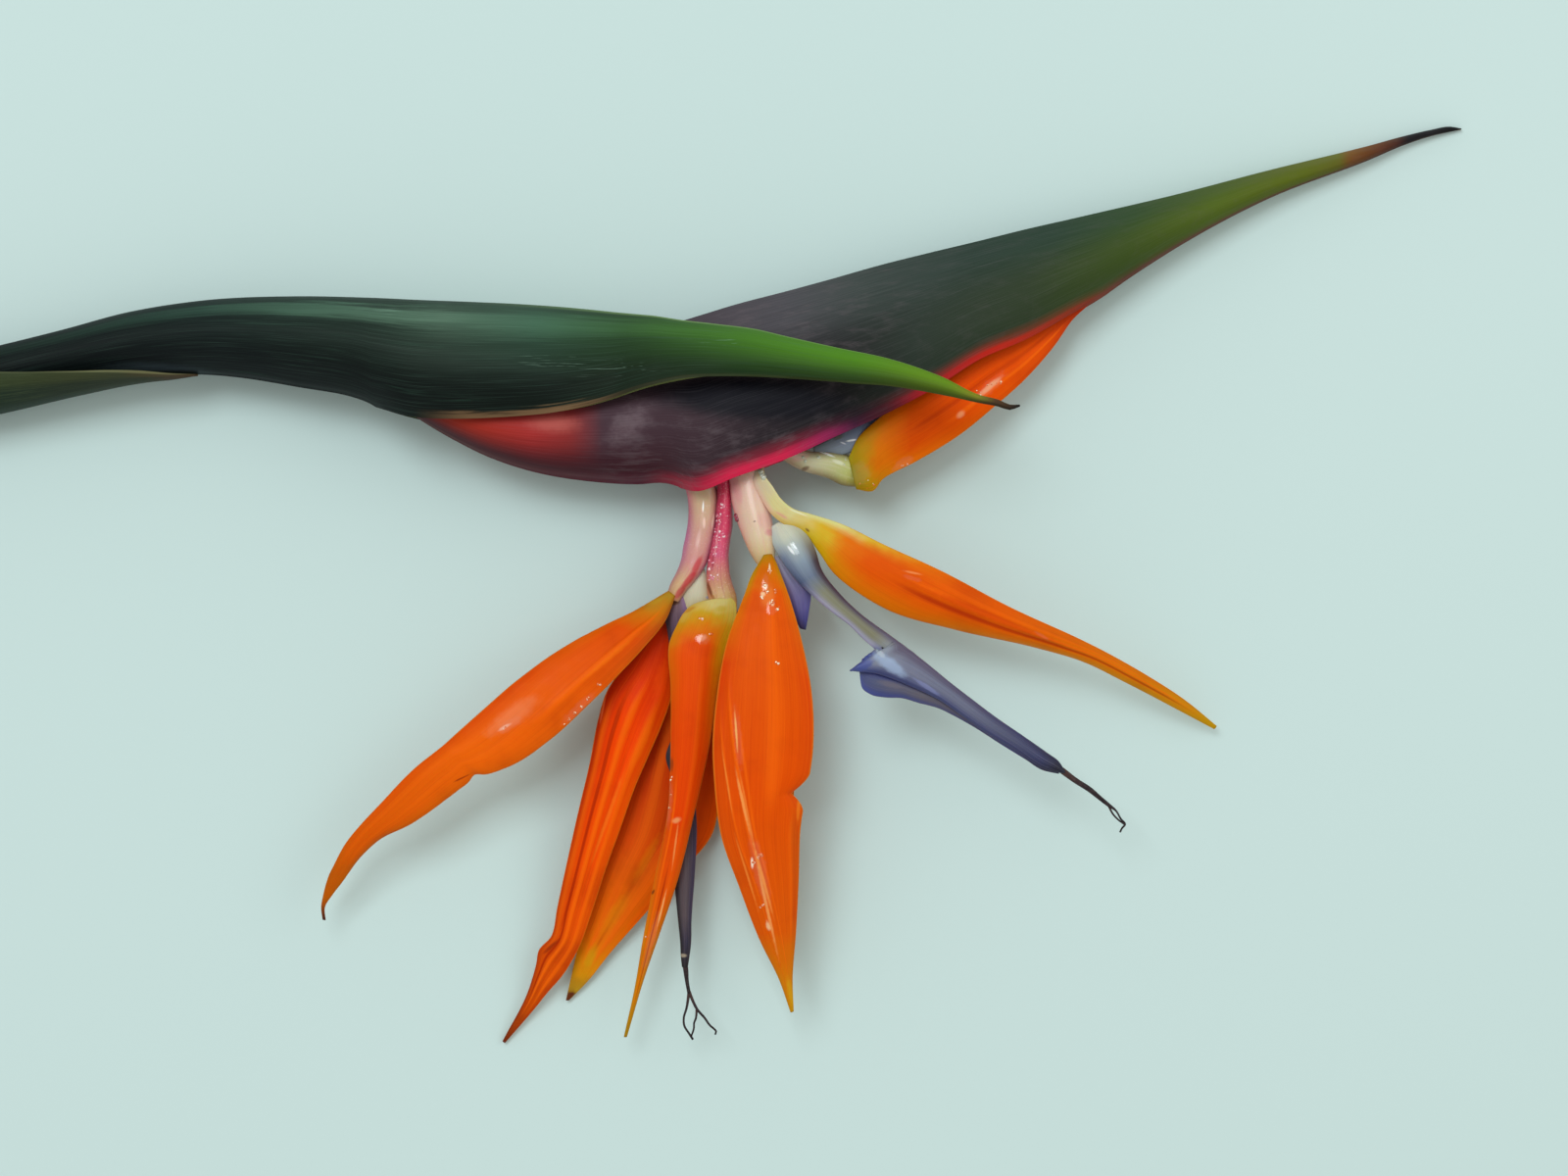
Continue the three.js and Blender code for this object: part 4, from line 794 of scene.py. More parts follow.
def sepal_look(
    name, along, left, right=None, sides=(0.3, 0.3), marks=(), wet=(), light="fa6a08", shade="a82402",
):
    """Colours along the middle and the two edges of a sepal, with its veins, a painted highlight on its fold
    ridges and painted shade in its creases, its marks, and the spots where nectar wets it."""
    paint = Paint(name, 0.42, flesh=0.10, specular=0.05)
    veins = paint.grained(2.2, 46, detail=4)
    fine = paint.grained(6, 240, detail=3)
    cloud = paint.noise(paint.mm, 0.10, detail=3)
    u = paint.wavering(paint.u, cloud, 0.14)
    v = paint.wavering(paint.v, cloud, 0.112)
    relief = paint.value("relief")
    paint.base = paint.ramp(u, along)
    paint.streak(v, sides[0], 0.0, 1.0, paint.ramp(u, left))
    paint.streak(v, 1.0 - sides[1], 1.0, 1.0, paint.ramp(u, right or left))
    paint.streak(cloud, 0.50, 0.75, 0.25, shade)
    # Painted light on the folds: the raised ridges are painted lighter as a painted highlight, and the
    # creases darker as painted shade.
    paint.streak(relief, 0.15, 1.0, 0.65, light)
    paint.streak(relief, -0.1, -1.0, 0.75, shade)
    paint.streak(veins, 0.50, 0.78, 0.32, light)
    paint.streak(veins, 0.48, 0.25, 0.30, shade)
    paint.streak(fine, 0.52, 0.75, 0.20, light)
    paint.streak(fine, 0.46, 0.28, 0.16, shade)
    paint.streak(paint.apart(paint.v, 0.5, 2.0), 0.955, 0.995, 0.45, "f09a28")
    paint.mark(marks, soft=0.7, ragged=0.5)
    paint.lining(0.35, "f0902c")
    if wet:
        paint.wet(wet, soft=0.5)
    rough = paint.ease(paint.noise(paint.mm, 0.5), 0.3, 0.7, 0.36, 0.48)
    return paint.finish(paint.plus(veins, paint.times(fine, 0.6)), 0.05, 0.5, rough)


def fit_sepals(flower, **pieces):
    """Puts the sepals of one flower in the frame, each for the node of its own name."""
    for side, piece in pieces.items():
        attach(piece, "root")
        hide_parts(f"flower_{flower}_sepal_{side}")


SEPAL_1_LEFT_EDGES = [
    [28.7, -1.1, 13, 30, -2.1, 13, 0.1], [22, -5, 14, 28.2, -6.6, 14, 0.5],
    [15.8, -8, 15.5, 25.2, -10.5, 15.5, 0.8], [8.7, -12, 17, 20.2, -16, 17, 1.2],
    [1, -17.6, 18, 14.2, -22, 18, 1.4], [-5, -22.8, 18, 7.2, -28.4, 18, 1.5],
    [-10.4, -27.6, 17.5, -1, -33.6, 17.5, 1.4], [-11.5, -28.6, 17.3, -4.6, -34.75, 17.2, 1.35],
    [-12.4, -29.4, 17.2, -6.7, -34.85, 17, 1.3], [-13.4, -30.2, 17, -7.6, -36, 16.9, 1.25],
    [-16.5, -32.6, 16.5, -9.6, -37.6, 16.5, 1.2], [-23.5, -39.5, 14.5, -17.7, -43.5, 14.5, 1.1],
    [-31.2, -48.2, 12, -25.8, -48, 12, 0.8], [-33.3, -52, 10.8, -29, -51.3, 10.8, 0.6],
    [-34.5, -54.4, 9.5, -31.8, -55.1, 9.5, 0.4], [-35.4, -57.3, 8.5, -33.7, -57.5, 8.5, 0.2],
    [-35.9, -59.9, 7.9, -35.2, -59.9, 7.9, 0.1], [-35.7, -62.2, 7.4, -35.1, -62.3, 7.4, 0.1],
]
SEPAL_1_MIDDLE_EDGES = [
    [28.9, -1.6, 11, 29.9, -1.9, 11, 0.1], [27.8, -5, 10.2, 29.2, -5.6, 10.2, 0.1],
    [25.5, -8.2, 10.4, 29.3, -11.5, 10.4, 0.4], [21, -14.4, 10.8, 29.2, -20.5, 10.6, 0.6],
    [17.4, -19.4, 10.8, 27.4, -26, 10.4, 0.8], [15.6, -25, 10.4, 24.9, -31.8, 10, 1],
    [14, -33, 9.5, 22.5, -37.3, 9.5, 1], [11.8, -42.2, 8.4, 19.5, -45.7, 8.4, 1],
    [9.7, -51.4, 7.2, 16.9, -52.8, 7.2, 0.8], [7.8, -60, 6, 14, -61.6, 6.2, 0.7],
    [6.7, -65.3, 5.2, 11.8, -67.6, 5.2, 0.7], [4.2, -68.3, 4.4, 8.6, -73, 4.2, 0.6],
    [3.7, -70.9, 3.8, 6, -76, 3.4, 0.5], [2.2, -75.8, 2.6, 3.6, -79, 2.4, 0.4],
    [-2.8, -85.6, 0.8, -2.3, -85.9, 0.8, 0.1],
]
SEPAL_1_REAR_EDGES = [
    [30.2, -1.9, 10.2, 31.2, -2.3, 10.2, 0.1], [27.6, -5.6, 7.6, 28.6, -6.2, 7.6, 0.1],
    [23.6, -12, 6.4, 26.6, -15, 6.4, 0.4], [19.8, -20, 5.8, 24.8, -20.6, 5.8, 0.5],
    [16.4, -31, 5.2, 21.2, -31, 5.2, 0.6], [13.6, -42, 4.6, 17.8, -42, 4.6, 0.5],
    [11.6, -52, 3.6, 14.4, -52, 3.6, 0.3], [10.2, -61, 2.6, 10.8, -61, 2.6, 0.1],
]
sepal_1_left_look = sepal_look(
    "sepal_1_left_orange",
    along="0 a88420, 4 c8780c, 12 de4e04, 50 f06606, 80 de5c02, 94 b85a04, 100 2a1c18",
    left="0 a07014, 8 da640a, 30 dc4a02, 70 dc5402, 95 b05c04, 100 2a1c18",
    right="0 8a5c14, 10 b84a08, 30 e85e06, 70 da6402, 95 b05e04, 100 2a1c18",
    marks=[
        # The pale pink patch at (0.4, -24) is a painted sheen and the pale speck at (-1, -26) is a painted
        # glint.
        (0.4, -24, 7.5, 2.3, 36, 0.5, "f08a58"), (-1, -26, 1.8, 0.4, 30, 0.55, "f8c8b0"),
        (18, -13.4, 9, 0.6, 40, 0.45, "fa7a14"), (26.5, -3, 2.6, 0.6, 25, 0.5, "b89020"),
        (-9, -35.4, 2.2, 0.22, 26, 0.75, "8a2404"),
    ],
    wet=[(12.5, -22.6, 5, 1.1, 42), (0, -25.5, 3, 1.2, 35)],
)
sepal_1_middle_look = sepal_look(
    "sepal_1_middle_orange",
    along="0 7a260c, 10 d83002, 30 f84400, 55 f44e00, 75 e65602, 90 c84c02, 100 5a200c",
    left="0 6a160a, 20 a01c02, 45 b82c02, 60 cc4404, 82 b43a02, 100 5a200c",
    right="0 8a200a, 20 dc4000, 45 f05802, 70 e05402, 90 b83c04, 100 5a200c",
    sides=(0.34, 0.25),
    marks=[
        # Painted light: the three bright orange streaks are painted highlights on the fold ridges, the thin
        # pale line at (16.6, -22.6) is a painted highlight on a fold edge, and the dark red lines at (15.6,
        # -24.6) and (9.6, -60) are painted shade in the creases.
        (27.2, -17.6, 1.6, 5, -12, 0.45, "ff5404"), (23.6, -29.6, 1.2, 7, -24, 0.5, "fc6e08"),
        (17.4, -43, 0.5, 12, -20, 0.4, "fa8a20"), (16.6, -22.6, 0.25, 4.4, -12, 0.6, "e8703c"),
        (15.6, -24.6, 0.5, 5, -10, 0.5, "8c1400"), (9.6, -60, 0.35, 6, -16, 0.4, "a82000"),
        (6.6, -67.4, 2.6, 0.5, 42, 0.6, "7a1c08"),
    ],
    light="ff6e06",
    shade="a01a00",
)
sepal_1_rear_look = sepal_look(
    "sepal_1_rear_orange",
    along="0 8a6a1c, 20 c8400a, 80 d05008, 100 b07018",
    left="0 8a6a1c, 50 b03606, 100 b07018",
)
fit_sepals(
    1,
    left=blade(
        "sepal_1_left_blade", SEPAL_1_LEFT_EDGES, sepal_1_left_look, flutter=0.1,
        folds=[
            (0.66, 0.66, 0.07, 0.45, 0, 0.42), (0.5, 0.5, 0.08, -0.12, 0.3, 0.95),
            (0.25, 0.3, 0.1, 0.12, 0.2, 0.9),
        ],
    ),
    middle=blade(
        "sepal_1_middle_blade", SEPAL_1_MIDDLE_EDGES, sepal_1_middle_look, columns=48,
        folds=[
            (0.12, 0.14, 0.08, 0.2, 0.2, 0.85), (0.3, 0.3, 0.045, -0.3, 0.18, 0.97),
            (0.5, 0.44, 0.07, 0.3, 0.15, 0.97), (0.66, 0.58, 0.05, -0.14, 0.25, 0.97),
            (0.82, 0.74, 0.08, 0.26, 0.15, 0.95),
        ],
    ),
    rear=blade("sepal_1_rear_blade", SEPAL_1_REAR_EDGES, sepal_1_rear_look),
)

SEPAL_2_FRONT_EDGES = [
    [35.2, -2.9, 13.4, 40.2, -2.3, 13.4, 0.2], [33.1, -3.7, 13.7, 41.1, -3.3, 13.7, 0.4],
    [31.5, -5.2, 14.3, 41.3, -5.4, 14.3, 0.7], [30.2, -7.6, 15, 40.9, -7.6, 15, 1.1],
    [29, -10.5, 15.5, 39.6, -10.7, 15.5, 1.3], [29.2, -18.6, 16, 38, -18, 16, 1.4],
    [29.2, -28.6, 16, 36.5, -28.6, 16, 1.3], [28.6, -41.8, 15, 33.6, -41.8, 15, 1.1],
    [26, -54.8, 13, 30.5, -54.2, 13, 0.9], [23.9, -65.5, 10.5, 27, -64.6, 10.5, 0.7],
    [22.4, -74.2, 8.5, 24, -73.3, 8.5, 0.4], [20.2, -84.1, 6.5, 20.8, -84.1, 6.5, 0.1],
]
SEPAL_2_LEFT_EDGES = [
    [36.2, -1.8, 10.6, 38, -1.8, 11, 0.1], [33.4, -4.6, 8.8, 36.8, -4.8, 9, 0.1],
    [29.4, -9.6, 7.2, 35.8, -9.8, 7.2, 0.4], [25.9, -19.7, 6, 37.8, -19.7, 6, 0.9],
    [22.6, -30.7, 5.5, 38.3, -30.7, 5.5, 1.1], [19.5, -40.8, 4.8, 38, -40, 5, 1.2],
    [17.7, -46.3, 4.4, 36.7, -46.3, 4.8, 1.2], [15.2, -53.6, 3.8, 31.2, -53.2, 4.4, 1.1],
    [13, -61.9, 2.8, 24, -61.5, 3.5, 0.8], [11.2, -68.8, 2, 17.4, -69, 2.5, 0.5],
    [10, -74, 1.4, 13.3, -74.2, 1.7, 0.3], [9.1, -77.9, 0.9, 9.7, -77.9, 0.9, 0.1],
]
SEPAL_2_REAR_EDGES = [
    [39, -1.9, 10.8, 40.4, -1.9, 10.8, 0.1], [39.6, -6, 9.6, 41.8, -6, 9.6, 0.2],
    [40.4, -12, 10.2, 45.4, -12, 10.2, 0.4], [41.5, -25, 10.6, 48.6, -25, 10.6, 0.5],
    [42.5, -40, 10.6, 49.4, -40, 10.6, 0.5], [44.6, -52, 10.2, 49.4, -52, 10.2, 0.4],
    [47.6, -62, 9.4, 50, -62, 9.4, 0.2], [49.6, -68, 8.8, 50.2, -68, 8.8, 0.1],
]
sepal_2_front_look = sepal_look(
    "sepal_2_front_orange",
    along="0 d0c478, 3 c8a428, 7 d87a0a, 13 e64c02, 50 ea4200, 62 e65204, 74 de6c06, 88 d0800a, 100 9c8010",
    left="0 c8b860, 5 c08c14, 12 d46404, 30 dc4402, 55 d85604, 80 d0840c, 100 9c8010",
    right="0 ccc060, 6 c0a01c, 13 c8940c, 21 d07206, 34 d84202, 60 da5a04, 80 c8780c, 100 9c8010",
    marks=[
        # The pale spot at (34.9, -9.8) and the thin pale lines at (30, -48) and (27.4, -60) are painted
        # highlights.
        (30.3, -43.2, 1.2, 0.7, 20, 0.75, "f2a468"), (25.9, -56.6, 0.7, 0.3, 60, 0.8, "6a2a10"),
        (34.9, -9.8, 1.2, 0.8, 20, 0.55, "f4b090"), (32.6, -4.6, 1.6, 0.5, 30, 0.6, "b87014"),
        (38.4, -4.4, 1.6, 0.8, 0, 0.5, "c0a010"), (29.4, -33, 0.5, 1.8, 0, 0.6, "6a3414"),
        (30, -48, 0.25, 5.5, -8, 0.5, "fab060"), (27.4, -60, 0.25, 5, -14, 0.6, "fcc880"),
    ],
    wet=[(35.1, -10, 1.7, 1.2, 0), (28.8, -40, 0.9, 6, -4), (25.4, -66, 0.8, 7, -15)],
)
sepal_2_left_look = sepal_look(
    "sepal_2_left_orange",
    along=(
        "0 8a6a1c, 10 b43004, 40 d43c04, 60 e25004, 85 e87406, 95 d6960c, 99 b09420, 99.7 8a7420, 100 3a2c1c"
    ),
    left="0 8a6a1c, 30 c23404, 60 d64c04, 80 de6606, 92 d2960c, 99 b09420, 100 5a4c20",
    right="0 8a6a1c, 30 cc3e02, 60 f05802, 80 f06002, 92 e68808, 99 a8922a, 100 5a4c20",
    marks=[
        (24.4, -51, 6.5, 1.2, 62, 0.35, "f08808"), (18.4, -61.4, 6, 1.6, 56, 0.4, "e88c0c"),
        (13.8, -69.6, 3.4, 1.2, 66, 0.55, "cc9c10"),
    ],
    light="f6680a",
    shade="9c2600",
)
sepal_2_rear_look = sepal_look(
    "sepal_2_rear_orange",
    along="0 a08a2a, 10 c03806, 80 cc4608, 100 a87418",
    left="0 a08a2a, 50 b03206, 100 a87418",
)
fit_sepals(
    2,
    front=blade(
        "sepal_2_front_blade", SEPAL_2_FRONT_EDGES, sepal_2_front_look,
        folds=[
            (0.14, 0.3, 0.05, 0.25, 0.35, 0.98), (0.34, 0.52, 0.06, -0.25, 0.55, 0.98),
            (0.62, 0.7, 0.1, 0.15, 0.1, 0.9),
        ],
    ),
    left=blade(
        "sepal_2_left_blade", SEPAL_2_LEFT_EDGES, sepal_2_left_look, flutter=0.05, columns=40,
        folds=[
            (0.3, 0.35, 0.08, 0.14, 0.1, 0.95), (0.5, 0.5, 0.06, -0.1, 0.1, 0.95),
            (0.7, 0.7, 0.1, 0.16, 0.1, 0.95),
        ],
    ),
    rear=blade("sepal_2_rear_blade", SEPAL_2_REAR_EDGES, sepal_2_rear_look),
)

SEPAL_3_FRONT_EDGES = [
    [46.3, 5.5, 17.2, 47.8, 5.6, 17.2, 0.1], [45.4, 4, 18.2, 48.6, 4.1, 18.2, 0.4],
    [44.3, 2.2, 18.9, 49.3, 2.3, 18.9, 0.7], [42.7, -2, 20, 50.8, -1.7, 20, 1],
    [39.7, -10, 21, 53.2, -10, 21, 1.5], [37.7, -20.6, 21.5, 55.2, -21, 21.5, 1.8],
    [37, -29.5, 21.5, 55.3, -30, 21.5, 1.8], [37.3, -36, 21.3, 54.5, -36, 21.3, 1.8],
    [38.4, -45.2, 20.5, 53.1, -43.8, 20.5, 1.8], [41.8, -55.2, 19, 52.7, -54, 19, 1.5],
    [45.5, -65, 17, 52.2, -64, 17, 1.2], [49.1, -72.6, 15, 51.6, -72.2, 15, 0.6],
    [51.2, -78.8, 13, 51.8, -78.6, 13, 0.1],
]
SEPAL_3_RIGHT_EDGES = [
    [46.2, 22, 15.2, 44, 20.8, 15.2, 0.2], [46.6, 19.9, 16.2, 44.5, 18.4, 16.2, 0.2],
    [47.8, 18.2, 16.4, 45.7, 16, 16.4, 0.2], [49.6, 15.6, 16.6, 47.6, 13, 16.6, 0.4],
    [51.6, 14, 16.8, 49.8, 11.2, 16.8, 0.5], [54.8, 13, 17, 53.3, 9.7, 17, 0.6],
    [60.4, 11.2, 17, 56.2, 6.2, 17, 0.8], [68, 7.5, 17.5, 59.2, 2, 17, 1.2],
    [78.7, 2.6, 17.5, 68.5, -4.4, 16.5, 1.6], [91.3, -4, 16, 81.5, -8.3, 15, 1.6],
    [104.3, -9.9, 13.3, 97, -11.8, 12.7, 1.2], [108.8, -12.1, 11.9, 104, -13.8, 11.5, 1],
    [117.3, -16.8, 9.2, 113.6, -18.3, 8.8, 0.7], [125.4, -22, 5.6, 123.9, -23.6, 5.3, 0.4],
    [130.9, -26.4, 3, 130.4, -27, 3, 0.1],
]
SEPAL_3_REAR_EDGES = [
    [45.6, 4.1, 14.4, 47, 4.1, 14.4, 0.1], [43.6, -2, 10.4, 49.4, -2, 10.4, 0.3],
    [42, -9, 7.4, 51.4, -9, 7.4, 0.5], [41, -20, 6, 52.4, -20, 6, 0.8], [41, -32, 5, 52.4, -32, 5, 1],
    [42, -44, 4.4, 51.4, -44, 4.4, 0.8], [45, -56, 3.6, 50.6, -56, 3.6, 0.6],
    [48.4, -66, 2.6, 50.6, -66, 2.6, 0.4], [50.2, -72, 1.6, 50.8, -72, 1.6, 0.1],
]
sepal_3_front_look = sepal_look(
    "sepal_3_front_orange",
    along="0 a07c14, 2 b88c14, 5 d4780a, 10 e25602, 50 e24e00, 80 de5a04, 93 d67c08, 100 b8900c",
    left="0 988010, 6 b48c0c, 12 da7206, 25 d84002, 80 d85604, 100 b8900c",
    right="0 988010, 4 b4860c, 9 d87006, 25 d84202, 80 d65404, 100 b8900c",
    sides=(0.25, 0.2),
    marks=[
        # Most of these marks are painted light: the long thin pale lines are painted highlights along the
        # ridges, and the small near-white and pale spots near the base and at (44.2, -50.6) and (47.1, -62.3)
        # are painted glints.
        (42.6, -39.8, 0.4, 8, 12.7, 0.65, "fcac5c"), (46.8, -58.5, 0.4, 12, 12.4, 0.55, "fcb468"),
        (43.2, -52.5, 0.28, 9, 17, 0.45, "f89a40"), (47.1, -62.3, 0.5, 1.3, 14, 0.7, "fcd0a0"),
        (52.2, -50, 1.2, 14, 4, 0.3, "c05a10"), (51.2, -75, 0.8, 4, 10, 0.6, "d8a418"),
        (41.3, -26.5, 0.3, 5, 4, 0.8, "fcb868"), (39.7, -36, 0.25, 8, 9, 0.5, "fa9a40"),
        (43.3, -41, 0.3, 11, 11, 0.45, "fa9a40"), (46.3, -54, 0.4, 9, 15, 0.55, "fcaa50"),
        (44.2, -50.6, 0.35, 1.3, 4, 0.9, "fff0d8"), (47.4, 3, 0.22, 1.2, 4, 0.8, "fff0c8"),
        (46.6, -0.2, 0.6, 0.8, 20, 0.95, "fff0dc"), (46.2, -1.7, 0.65, 0.6, -30, 0.9, "fcd8b0"),
        (47.8, -3.4, 0.5, 0.7, 30, 0.85, "fce0b8"), (47.2, -0.8, 0.3, 1.2, 10, 0.6, "c05a10"),
        (47, -2, 1.8, 3.2, 0, 0.3, "f6a050"), (52.6, -41, 0.5, 3, -2, 0.5, "f68a20"),
    ],
    wet=[(46.6, 0.4, 0.8, 1.8, 0), (47.6, -4.4, 0.9, 1.4, 0), (41.6, -28, 1, 7, 6), (45.6, -52, 1.6, 8, 14)],
)
sepal_3_right_look = sepal_look(
    "sepal_3_right_orange",
    along=(
        "0 ccbca0, 6 d0cc90, 12 d4d090, 16.5 d4b42c, 21 e07606, 28 e05402, 50 de5800, 70 d87004, 90 d0860c, "
        "100 b8920a"
    ),
    left="0 d4cca0, 10 d8dc98, 20 e0e090, 25 e0bc38, 32 e4740c, 45 e05602, 85 cc7008, 100 b8920a",
    right="0 d0b4a0, 6 dcb4a0, 11 d0bc70, 16 c8b020, 22 d09c08, 29 e27804, 42 e47404, 75 dc8c0a, 100 b8920a",
    sides=(0.3, 0.46),
    marks=[
        # The pale line at (73.5, 2.2) and the near-white line at (52.6, 13.2) are painted highlights.
        (56.6, 6.4, 2.2, 0.9, -55, 0.75, "d0a008"), (73.5, 2.2, 2.2, 0.3, -12, 0.55, "f8a060"),
        (88, -5.8, 17, 0.9, -22, 0.5, "c43402"), (49.6, 12.7, 1.8, 0.35, -32, 0.6, "d88c88"),
        (54.3, 10, 0.7, 0.3, -40, 0.85, "7a5a30"), (52.6, 13.2, 2.6, 0.25, -22, 0.5, "f4f4d8"),
    ],
    wet=[(47.5, 18, 2, 1.2, -50), (73.5, 1.2, 2.4, 0.5, -15), (97.2, -9.3, 1.8, 0.4, -30)],
)
sepal_3_rear_look = sepal_look(
    "sepal_3_rear_orange",
    along="0 b8902a, 10 d05008, 80 d45208, 100 a87c18",
    left="0 b8902a, 50 c04006, 100 a87c18",
)
fit_sepals(
    3,
    front=blade(
        "sepal_3_front_blade", SEPAL_3_FRONT_EDGES, sepal_3_front_look, columns=64, cell=0.5,
        folds=[
            (-0.147, 0.453, 0.016, 0.2, 0.3, 0.99), (-0.0975, 0.6525, 0.018, 0.24, 0.24, 0.75),
            (-0.016, 0.734, 0.02, 0.2, 0.32, 0.99), (0.6, 0.62, 0.12, 0.18, 0.05, 0.6),
            (0.88, 0.86, 0.04, 0.15, 0.5, 0.9),
        ],
        bites=[(0.513, 0.045, 0.17)],
    ),
    right=blade(
        "sepal_3_right_blade", SEPAL_3_RIGHT_EDGES, sepal_3_right_look, columns=40,
        folds=[
            (0.36, 0.36, 0.06, 0.15, 0.3, 0.98), (0.52, 0.5, 0.07, -0.16, 0.3, 0.97),
            (0.22, 0.2, 0.07, 0.1, 0.3, 0.9),
        ],
    ),
    rear=blade("sepal_3_rear_blade", SEPAL_3_REAR_EDGES, sepal_3_rear_look),
)

SEPAL_4_FRONT_EDGES = [
    [61.9, 23.4, 12.6, 63.3, 17.6, 12.4, 0.3], [63.6, 27, 12.8, 66.1, 17.2, 12.6, 0.7],
    [68.1, 31.2, 12.5, 68.4, 19.6, 12.5, 0.8], [73.9, 35.2, 12, 74.5, 22.8, 12, 1],
    [80.4, 39.8, 11.3, 82.2, 27.5, 11.3, 1], [87.1, 44.3, 10.5, 89, 33, 10.5, 0.9],
    [93.5, 47.1, 9.5, 94.8, 38.2, 9.5, 0.7], [99.1, 49.9, 8.6, 100.3, 44.5, 8.6, 0.5],
    [103, 51.4, 7.9, 103.7, 49.3, 7.9, 0.3], [106.2, 52.2, 7.2, 106.5, 51.9, 7.2, 0.1],
]
SEPAL_4_REAR_EDGES = [
    [61.2, 22.4, 10.2, 61.9, 20, 10.2, 0.1], [64.6, 26.8, 7.4, 66.8, 19.2, 7.4, 0.2],
    [69.1, 31.4, 6.4, 69.7, 22, 6.4, 0.4], [75.5, 36, 6.2, 76.2, 27, 6.2, 0.4],
    [82.8, 41.2, 6.2, 84.3, 32.9, 6.2, 0.4], [92, 46, 6.2, 93.7, 40.6, 6.2, 0.2],
    [100, 49.7, 6.2, 100.7, 48.2, 6.2, 0.1],
]
SEPAL_4_INNER_EDGES = [
    [61, 24.6, 10.2, 61.5, 24.2, 10.2, 0.1], [62.5, 28, 9.8, 63.1, 27.6, 9.8, 0.1],
    [64.8, 31.2, 9.8, 65.6, 30.2, 9.8, 0.1], [68.2, 36, 10.4, 68.4, 32.8, 10.4, 0.2],
    [74.4, 41.8, 10.2, 74.2, 37, 10.2, 0.4], [81.4, 46.2, 9.8, 80.6, 41.4, 9.8, 0.4],
    [88, 49, 9.2, 87, 45.8, 9.2, 0.2], [93.6, 50.6, 8.6, 93.4, 50, 8.6, 0.1],
]
sepal_4_front_look = sepal_look(
    "sepal_4_front_orange",
    along="0 988618, 5 b08c0c, 12 d87404, 25 d64c00, 50 e64e00, 75 ea5202, 100 b82c10",
    left="0 a09418, 6 b8840a, 15 cc5c04, 35 c44004, 70 be2410, 100 a82024",
    right="0 8a7a10, 8 b0820a, 20 dc7002, 40 de5a00, 70 de4e02, 100 b03010",
    sides=(0.38, 0.3),
    marks=[
        # The pale streaks at (88, 36.6) and (82.6, 31.4) are painted highlights, and the dark line at (76,
        # 27.5) is painted shade in a crease.
        (88, 36.6, 4, 0.7, 40, 0.65, "fab88c"), (82.6, 31.4, 1.2, 0.8, 45, 0.55, "f8b080"),
        (62.5, 20.5, 1, 2.2, 0, 0.5, "8a8a24"), (76, 27.5, 9, 0.5, 42, 0.2, "c83c02"),
    ],
    wet=[(88, 36.6, 5, 1.3, 40), (64, 20.5, 2.2, 2.6, 0), (72, 22.5, 3, 1, 30)],
)
sepal_4_rear_look = sepal_look(
    "sepal_4_rear_orange",
    along="0 a09020, 20 d06008, 100 b03010",
    left="0 a09020, 50 b83808, 100 a02810",
)
fit_sepals(
    4,
    front=blade(
        "sepal_4_front_blade", SEPAL_4_FRONT_EDGES, sepal_4_front_look,
        folds=[
            (0.74, 0.68, 0.05, 0.16, 0.35, 0.95), (0.5, 0.5, 0.06, -0.1, 0.2, 0.9),
            (0.2, 0.2, 0.08, 0.08, 0.2, 0.9),
        ],
    ),
    rear=blade("sepal_4_rear_blade", SEPAL_4_REAR_EDGES, sepal_4_rear_look),
    inner=blade("sepal_4_inner_blade", SEPAL_4_INNER_EDGES, sepal_4_rear_look),
)


# Petals
# The blue tongue of each flower: two petals that lie together in the shape of an arrow, with a ridge where
# they meet, and a small hood petal at its foot. They fade from blue to dark purple as they dry.
PETAL_THICKNESS = 0.7
LOWER_WING_THICKNESS = 0.6
ARROW_1_EDGES = [
    [29.6, -1.9, 11.6, 31.4, -2.2, 11.7, 0.2], [28.1, -5, 11.5, 32.3, -5.2, 11.9, 0.5],
    [28.5, -8.8, 11.8, 32.5, -8.8, 12.2, 0.6], [29.1, -12.6, 12, 32.6, -12.6, 12.5, 0.7],
    [29.7, -20.3, 12.3, 33, -20.3, 12.6, 0.9], [29.5, -27.6, 12.2, 33.2, -27.6, 12.2, 0.9],
    [28.2, -31.6, 12.1, 33.3, -31.6, 12, 0.9], [29.4, -36, 12, 33.4, -36, 11.9, 1],
    [29.5, -44.8, 11.3, 33.9, -44.8, 11.7, 0.9], [29.7, -54, 10.9, 33.5, -53.7, 10.7, 0.8],
    [30.4, -62.2, 10.1, 32.9, -62.2, 10.3, 0.6], [30.8, -66.5, 9.8, 32.8, -66.5, 9.9, 0.5],
    [30.9, -68.9, 9.6, 32.5, -68.9, 9.7, 0.4], [31.1, -70.8, 9.5, 32.2, -70.8, 9.5, 0.2],
]
ARROW_2_EDGES = [
    [38.6, -1.9, 11.9, 40.3, -1.9, 11.9, 0.1], [39.2, -6, 12.2, 41.8, -6, 12.2, 0.4],
    [40.6, -12, 13.6, 43.2, -12, 13.6, 0.6], [40.6, -20, 15.6, 44.6, -20, 15.6, 0.8],
    [41.2, -35, 16, 45.2, -35, 16, 0.8], [43.6, -50, 15, 46.6, -50, 15, 0.6],
    [45.6, -59, 14.2, 47.4, -59, 14.2, 0.3], [46.9, -64.2, 13.6, 47.5, -64.2, 13.6, 0.1],
]
